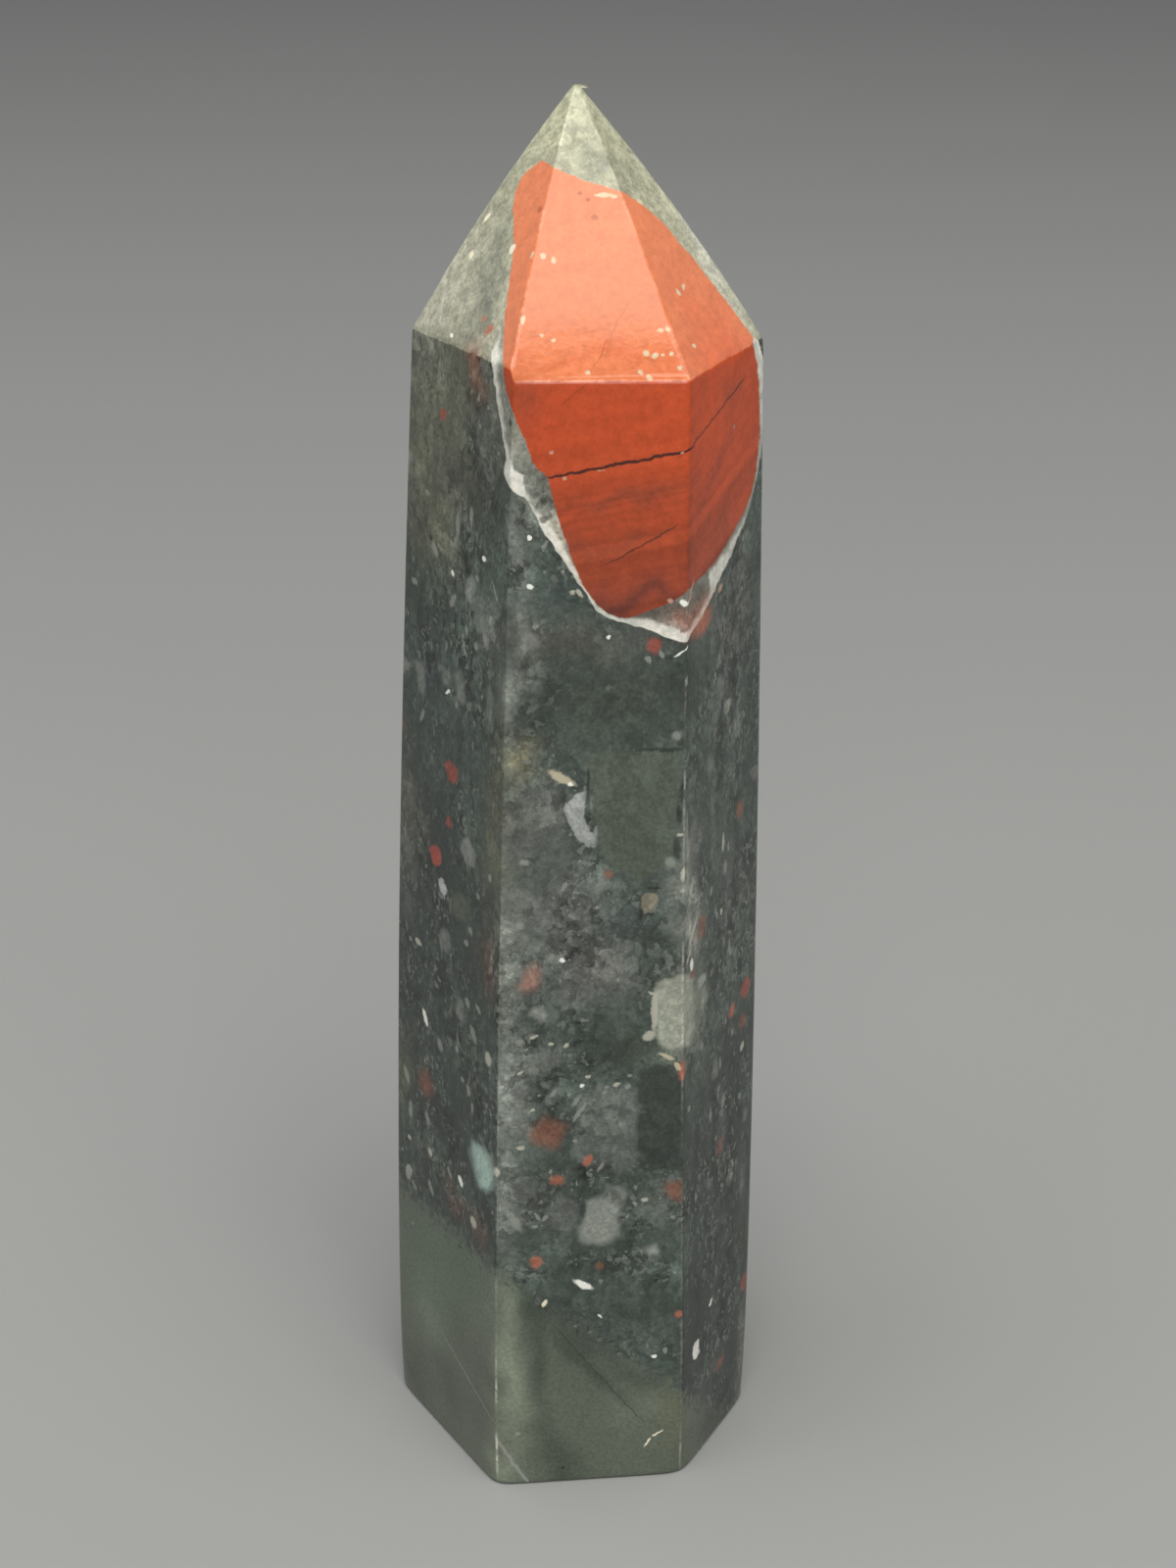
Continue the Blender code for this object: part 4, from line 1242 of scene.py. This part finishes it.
# The direction of the jasper's faint beds: a slanting bed through three pixels.
JASPER_BED = ((561, 487), (703, 460), (757, 389))

# Where the broken stone ends and the plain green foot begins: a slanting bed through three pixels.
FOOT_BED = ((413, 1208), (506, 1295), (703, 1425))
VEIN_LENGTH = 0.64              # how far a vein reaches from its middle, as a share of its length
# How each kind of vein shows: strength and tint, in the order in which they are laid.
STONE_VEINS = {"pale": (0.85, "smoke"), "dark": (0.60, "dark")}
JASPER_VEINS = {
    "scratch": (0.4, "healed crack"), "thread": (0.8, "healed crack"), "crack": (0.95, "open crack"),
}


def lay_specks(board, place, colour):
    """Lay the specks over the colour, one tint after the other.

    A speck is an ellipsoid. Its reach is the length of the way from its centre, each part of the
    way divided by the half size along that axis: 1 on its surface. All specks of a tint and a
    blur share one mask, which is smooth from 1 + blur to 1 - blur of the least reach.
    """
    frames = {}
    for kind, specks in SPECKS.items():
        for x, y, wide, tall, *turn in specks:
            centre, face = on_stone(x, y)
            frames.setdefault((face, *turn), []).append((kind, centre, wide, tall))
    reaches = {}
    for frame_key, specks in frames.items():
        axes = face_axes(*frame_key)
        parts = [board.vector("DOT_PRODUCT", place, axis.tolist()) for axis in axes]
        framed = board.add("CombineXYZ", enumerate(parts)).outputs[0]
        for kind, centre, wide, tall in specks:
            half = np.array([wide / 2, tall / 2, SPECK_DEPTH])
            shift = -(axes @ centre / MM) / half
            way = board.vector("MULTIPLY_ADD", framed, (1 / half).tolist(), shift.tolist())
            reach = board.vector("LENGTH", way)
            reaches[kind] = board.maths("MINIMUM", reaches[kind], reach) if kind in reaches else reach
    for tint, blur in SPECKS:
        strength = SPECK_STRENGTH.get(tint, OTHER_STRENGTH)
        mask = board.ramp(reaches[tint, blur], 1.0 + blur, 1.0 - blur, 0.0, strength)
        colour = board.mix(mask, colour, opaque(tint))
    return colour


def vein_sheet(pixels):
    """Middle, normal and length in millimetres of the flat sheet that a vein lies in."""
    points = [on_stone(x, y) for x, y in pixels]
    first, last = points[0][0] / MM, points[-1][0] / MM
    if len(points) > 2:
        third = points[1][0] / MM
    else:
        third = first - face_normals[points[0][1]]
    normal = np.cross(third - first, last - first)
    return (first + last) / 2, normal / np.linalg.norm(normal), float(np.linalg.norm(last - first))


def vein_masks(board, place):
    """One mask for each kind of vein."""
    group = vein_group()
    masks = {}
    for kind, pixels, half_width in VEINS:
        middle, normal, length = vein_sheet(pixels)
        out = board.group(group, {
            "Place": place, "Middle": middle.tolist(), "Normal": normal.tolist(),
            "Half Width": half_width, "Reach": length * VEIN_LENGTH,
        })["Mask"]
        masks[kind] = board.maths("MAXIMUM", masks[kind], out) if kind in masks else out
    return masks


def lay_veins(board, masks, layers, colour):
    """Lay some kinds of vein over the colour."""
    for kind, (strength, tint) in layers.items():
        colour = board.mix(board.times(masks[kind], strength), colour, opaque(tint))
    return colour


class StoneBoard(Board):
    """The stone's tree, with the places and noises that its layers share.

    raw is the place in millimetres, place is the same with a fine jitter, and chipped is drawn
    towards the middles of small cells, which gives outlines corners. wobble is a coarse noise
    about zero, and grain a fine one about a half.
    """

    def __init__(self, tree):
        super().__init__(tree)
        self.raw = self.scaled(self.add("TexCoord").outputs["Object"], 1.0 / MM)
        self.place = self.shifted(self.raw, "jitter", JITTER)
        self.chipped = self.mix_vectors(CHIPPED, self.place, self.cells(self.raw, CHIPPING)["Position"])
        self.wobble = self.minus(self.noise(self.raw, "wobble"), 0.5)
        self.grain = self.noise(self.raw, "grain")

    def field(self, name, raggedness=0.0):
        """A value kept in the mesh, moved by the coarse noise where a border is ragged."""
        value = self.add("Attribute", attribute_name=name).outputs["Fac"]
        return self.plus(value, self.times(self.wobble, raggedness)) if raggedness else value

    def tone(self, name):
        """A colour kept in the mesh, and its alpha."""
        return self.add("Attribute", attribute_name=name).outputs


def lay_litter(board, litter, colour):
    """Scatter small light shards, more where there is much litter."""
    flecks = fleck_group()
    bedded = board.vector("MULTIPLY", board.chipped, BEDDING)
    for scale, share, size, tint, strength in SCATTERED:
        mask = board.group(flecks, {"Place": bedded, "Scale": scale, "Share": share, "Size": size})
        mask = board.times(mask["Mask"], board.ramp(litter, *LITTERED, strength))
        colour = board.mix(mask, colour, opaque(tint))
    return colour


def lay_chips(board, shade, colour):
    """Lay the clasts and chips: distance over softness runs from 1 outside to -1 inside."""
    shaded = board.step(shade, "chip shade")
    grainy = board.times(board.minus(board.grain, 0.5), CHIP_GRAINY)
    chip_tone = board.tone("chip_tone")
    ragged = board.plus(board.field("chip", CHIP_RAGGED), grainy)
    chip = board.maths("DIVIDE", ragged, board.field("chip_softness"))
    mask = board.times(board.step(chip, "chip border"), chip_tone["Alpha"])
    shaded = board.times(shaded, board.step(board.grain, "chip grain"))
    return board.mix(mask, colour, board.scaled(chip_tone["Color"], shaded))


def lay_foot(board, colour):
    """Lay the plain green foot, under a slanting bed with a wavy border."""
    bed = [on_stone(*pixel)[0] / MM for pixel in FOOT_BED]
    normal = np.cross(bed[1] - bed[0], bed[2] - bed[0])
    normal /= np.linalg.norm(normal) * math.copysign(1.0, normal[2])
    offset = board.vector("SUBTRACT", board.place, bed[0].tolist())
    above = board.vector("DOT_PRODUCT", offset, normal.tolist())
    above = board.plus(above, board.times(board.wobble, FOOT_RAGGED))
    foot = board.scaled(board.tone("foot_tone")["Color"], board.step(board.grain, "foot grain"))
    return board.mix(board.step(above, "foot bed"), colour, foot)


def lay_rim(board, shade, colour):
    """Lay the chalcedony rim, and along its outline the seam, whiter where it is wider."""
    rim = board.field("rim", RIM_RAGGED)
    tone = board.tone("rim_tone")["Color"]
    tint = board.scaled(tone, shade)
    colour = board.mix(board.step(rim, "rim"), colour, tint)
    width = board.field("seam")
    inner = board.plus(rim, width)
    mask = board.times(board.step(rim, "seam outside"), board.step(inner, "seam inside"))
    mask = board.times(mask, board.step(width, "seam ends"))
    thin = board.mix(THIN_SEAM_WHITE, board.scaled(tone, THIN_SEAM_LIFT), opaque("rim white"))
    seam = board.mix(board.step(width, "wide seam"), thin, opaque("rim white"))
    seam = board.scaled(seam, board.step(board.wobble, "seam shade"))
    return board.mix(mask, colour, seam)


def lay_jasper(board, veins, colour):
    """Lay the red jasper: its tone, shaded by faint beds, mottle and grain, with its cracks."""
    red = board.field("red", RED_RAGGED)
    _, normal, _ = vein_sheet(JASPER_BED)
    along = board.vector("DOT_PRODUCT", board.place, normal.tolist())
    bedded = board.step(board.vector("DOT_PRODUCT", board.raw, (0.0, 0.0, 1.0)), "bedded heights")
    beds = board.step(board.strata(along, "beds"), "beds")
    beds = board.mix_values(bedded, 1.0, beds)
    mottle = board.step(board.wobble, "mottle")
    jasper = board.scaled(board.tone("jasper_tone")["Color"], board.times(beds, mottle))
    jasper = board.scaled(jasper, board.step(board.grain, "jasper grain"))
    jasper = lay_veins(board, veins, JASPER_VEINS, jasper)
    return board.mix(board.step(red, "red"), colour, jasper)


def lay_wear_and_glint(board, colour):
    """Lighten the edges, as wear and as a painted highlight along them. Gives the colour and how much each
    place is lightened.
    """
    edge = board.field("edge", EDGE_RAGGED)
    speckle = board.step(board.wobble, "wear speckle")
    worn_and_glinting = board.times(board.step(edge, "worn edge"), board.times(board.field("wear_and_glint"), speckle))
    whiter = board.times(board.field("wear_and_glint"), GLINT_AND_WEAR_WHITE)
    # Painted highlight: the edges are whitened and lifted, partly as wear and partly as a painted glint
    # and glow along them.
    lightened = board.mix(whiter, board.scaled(colour, GLINT_AND_WEAR_LIFT), opaque("worn_and_glinting"))
    return board.mix(board.times(worn_and_glinting, GLINT_AND_WEAR_STRENGTH), colour, lightened), worn_and_glinting


def bloodstone():
    """The polished stone: foot, breccia, chips, specks, red jasper with its rim, worn edges with a painted
    highlight.
    """
    material = bpy.data.materials.new("polished_bloodstone")
    material.use_nodes = True
    board = StoneBoard(material.node_tree)
    shader = material.node_tree.nodes["Principled BSDF"]

    litter = board.field("litter")
    breccia = board.group(breccia_group(), {
        "Place": board.raw, "Tone": board.tone("stone_tone")["Color"], "Point": board.field("point"),
        "Litter": litter, "Grain": board.grain,
    })
    colour = lay_litter(board, litter, breccia["Color"])
    colour = lay_chips(board, breccia["Shade"], colour)
    colour = lay_foot(board, colour)
    veins = vein_masks(board, board.place)
    colour = lay_veins(board, veins, STONE_VEINS, colour)
    colour = lay_rim(board, breccia["Shade"], colour)
    colour = lay_jasper(board, veins, colour)
    colour = lay_specks(board, board.chipped, colour)
    colour, worn_and_glinting = lay_wear_and_glint(board, colour)

    board.feed(shader.inputs["Base Color"], colour)
    rough = board.plus(board.step(board.wobble, "roughness"), board.times(worn_and_glinting, WORN_ROUGHNESS))
    board.feed(shader.inputs["Roughness"], rough)
    shader.inputs["IOR"].default_value = QUARTZ_IOR
    shader.inputs["Specular IOR Level"].default_value = SPECULAR
    polish = board.noise(board.raw, "polish")
    bump = board.add("Bump", {"Height": polish, "Strength": POLISH_BUMP, "Distance": POLISH_DEPTH})
    board.feed(shader.inputs["Normal"], bump.outputs[0])
    return material


def build_tower():
    """The skin with its markings, riding on the part's one body in place of the plain solid."""
    mesh, places = skin_mesh()
    store_fields(mesh, marking_fields(places))
    tower = bpy.data.objects.new("polished_tower", mesh)
    mesh.materials.append(bloodstone())
    bpy.context.scene.collection.objects.link(tower)
    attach(tower, "root")
    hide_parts("bloodstone_tower")


# Floor, light and camera

FLOOR_HALF = 3.0
FLOOR_TINT, FLOOR_ROUGHNESS = (0.205, 0.208, 0.204, 1.0), 0.6
ROOM_TINT, ROOM_STRENGTH = (0.97, 0.98, 1.0, 1.0), 0.24
LIT_PLACE = np.array([0.0, 0.0, 0.06])
WARM, NEUTRAL = (1.0, 0.98, 0.90), (1.0, 1.0, 1.0)
# Soft lights: where each stands as seen from the stone (degrees round from the front towards +X,
# and degrees up), distance, width and height (m), power (W) and tint.
LIGHTS = (
    ("key", 12.0, 60.0, 0.50, 0.38, 0.31, 2.5, WARM),
    ("left back", -122.0, 26.0, 0.50, 0.28, 0.28, 0.20, WARM),
    ("right back", 128.3, 22.3, 0.50, 0.28, 0.28, 0.14, WARM),
    ("overhead", 0.0, 88.0, 0.70, 0.60, 0.50, 2.0, NEUTRAL),
    ("front", 5.0, 12.0, 0.80, 0.60, 0.40, 3.2, NEUTRAL),
    ("left", -66.0, 60.0, 0.80, 0.50, 0.50, 3.0, NEUTRAL),
    ("right", 66.0, 60.0, 0.80, 0.50, 0.50, 1.3, NEUTRAL),
)
NEAREST_SEEN, FARTHEST_SEEN = 0.01, 20.0


def pale_floor():
    """A large level floor, plain and pale."""
    mesh = bpy.data.meshes.new("floor")
    low, high = -FLOOR_HALF, FLOOR_HALF
    mesh.from_pydata(
        [(low, low, 0.0), (high, low, 0.0), (high, high, 0.0), (low, high, 0.0)], [], [(0, 1, 2, 3)]
    )
    floor = bpy.data.objects.new("floor", mesh)
    bpy.context.scene.collection.objects.link(floor)
    material = bpy.data.materials.new("pale_floor")
    material.use_nodes = True
    shader = material.node_tree.nodes["Principled BSDF"]
    shader.inputs["Base Color"].default_value = FLOOR_TINT
    shader.inputs["Roughness"].default_value = FLOOR_ROUGHNESS
    mesh.materials.append(material)


def matrix_of(right, up, back, place):
    """The placing of an object whose axes are these and whose origin is at a place."""
    columns = [[*axis, 0.0] for axis in (right, up, back)] + [[*place, 1.0]]
    return Matrix(columns).transposed()


def softbox(name, azimuth, elevation, distance, width, height, power, tint):
    """A rectangular soft light that looks at the middle of the stone."""
    light = bpy.data.lights.new(name, "AREA")
    light.shape = "RECTANGLE"
    light.size, light.size_y = width, height
    light.energy = power
    light.color = tint
    a, e = math.radians(azimuth), math.radians(elevation)
    back = np.array([math.sin(a) * math.cos(e), -math.cos(a) * math.cos(e), math.sin(e)])
    right = np.array([math.cos(a), math.sin(a), 0.0])
    lamp = bpy.data.objects.new(name, light)
    lamp.matrix_world = matrix_of(right, np.cross(back, right), back, LIT_PLACE + back * distance)
    bpy.context.scene.collection.objects.link(lamp)


def studio():
    """Soft light in a pale room: from over the camera, in front, above and both sides.

    The facets mirror the key light towards the camera, and two weak lights behind the stone give
    the outer facets their sheen.
    """
    world = bpy.data.worlds.new("studio")
    world.use_nodes = True
    background = world.node_tree.nodes["Background"]
    background.inputs["Color"].default_value = ROOM_TINT
    background.inputs["Strength"].default_value = ROOM_STRENGTH
    bpy.context.scene.world = world
    for light in LIGHTS:
        softbox(*light)
    bpy.context.scene.view_settings.view_transform = "Standard"


def camera():
    """The camera of the photo."""
    data = bpy.data.cameras.new("camera")
    data.lens = LENS
    data.sensor_width = SENSOR
    data.clip_start = NEAREST_SEEN
    data.clip_end = FARTHEST_SEEN
    item = bpy.data.objects.new("camera", data)
    item.matrix_world = matrix_of(camera_right, camera_up, -camera_forward, CAMERA_PLACE)
    bpy.context.scene.collection.objects.link(item)
    bpy.context.scene.camera = item


build_tower()
pale_floor()
studio()
camera()
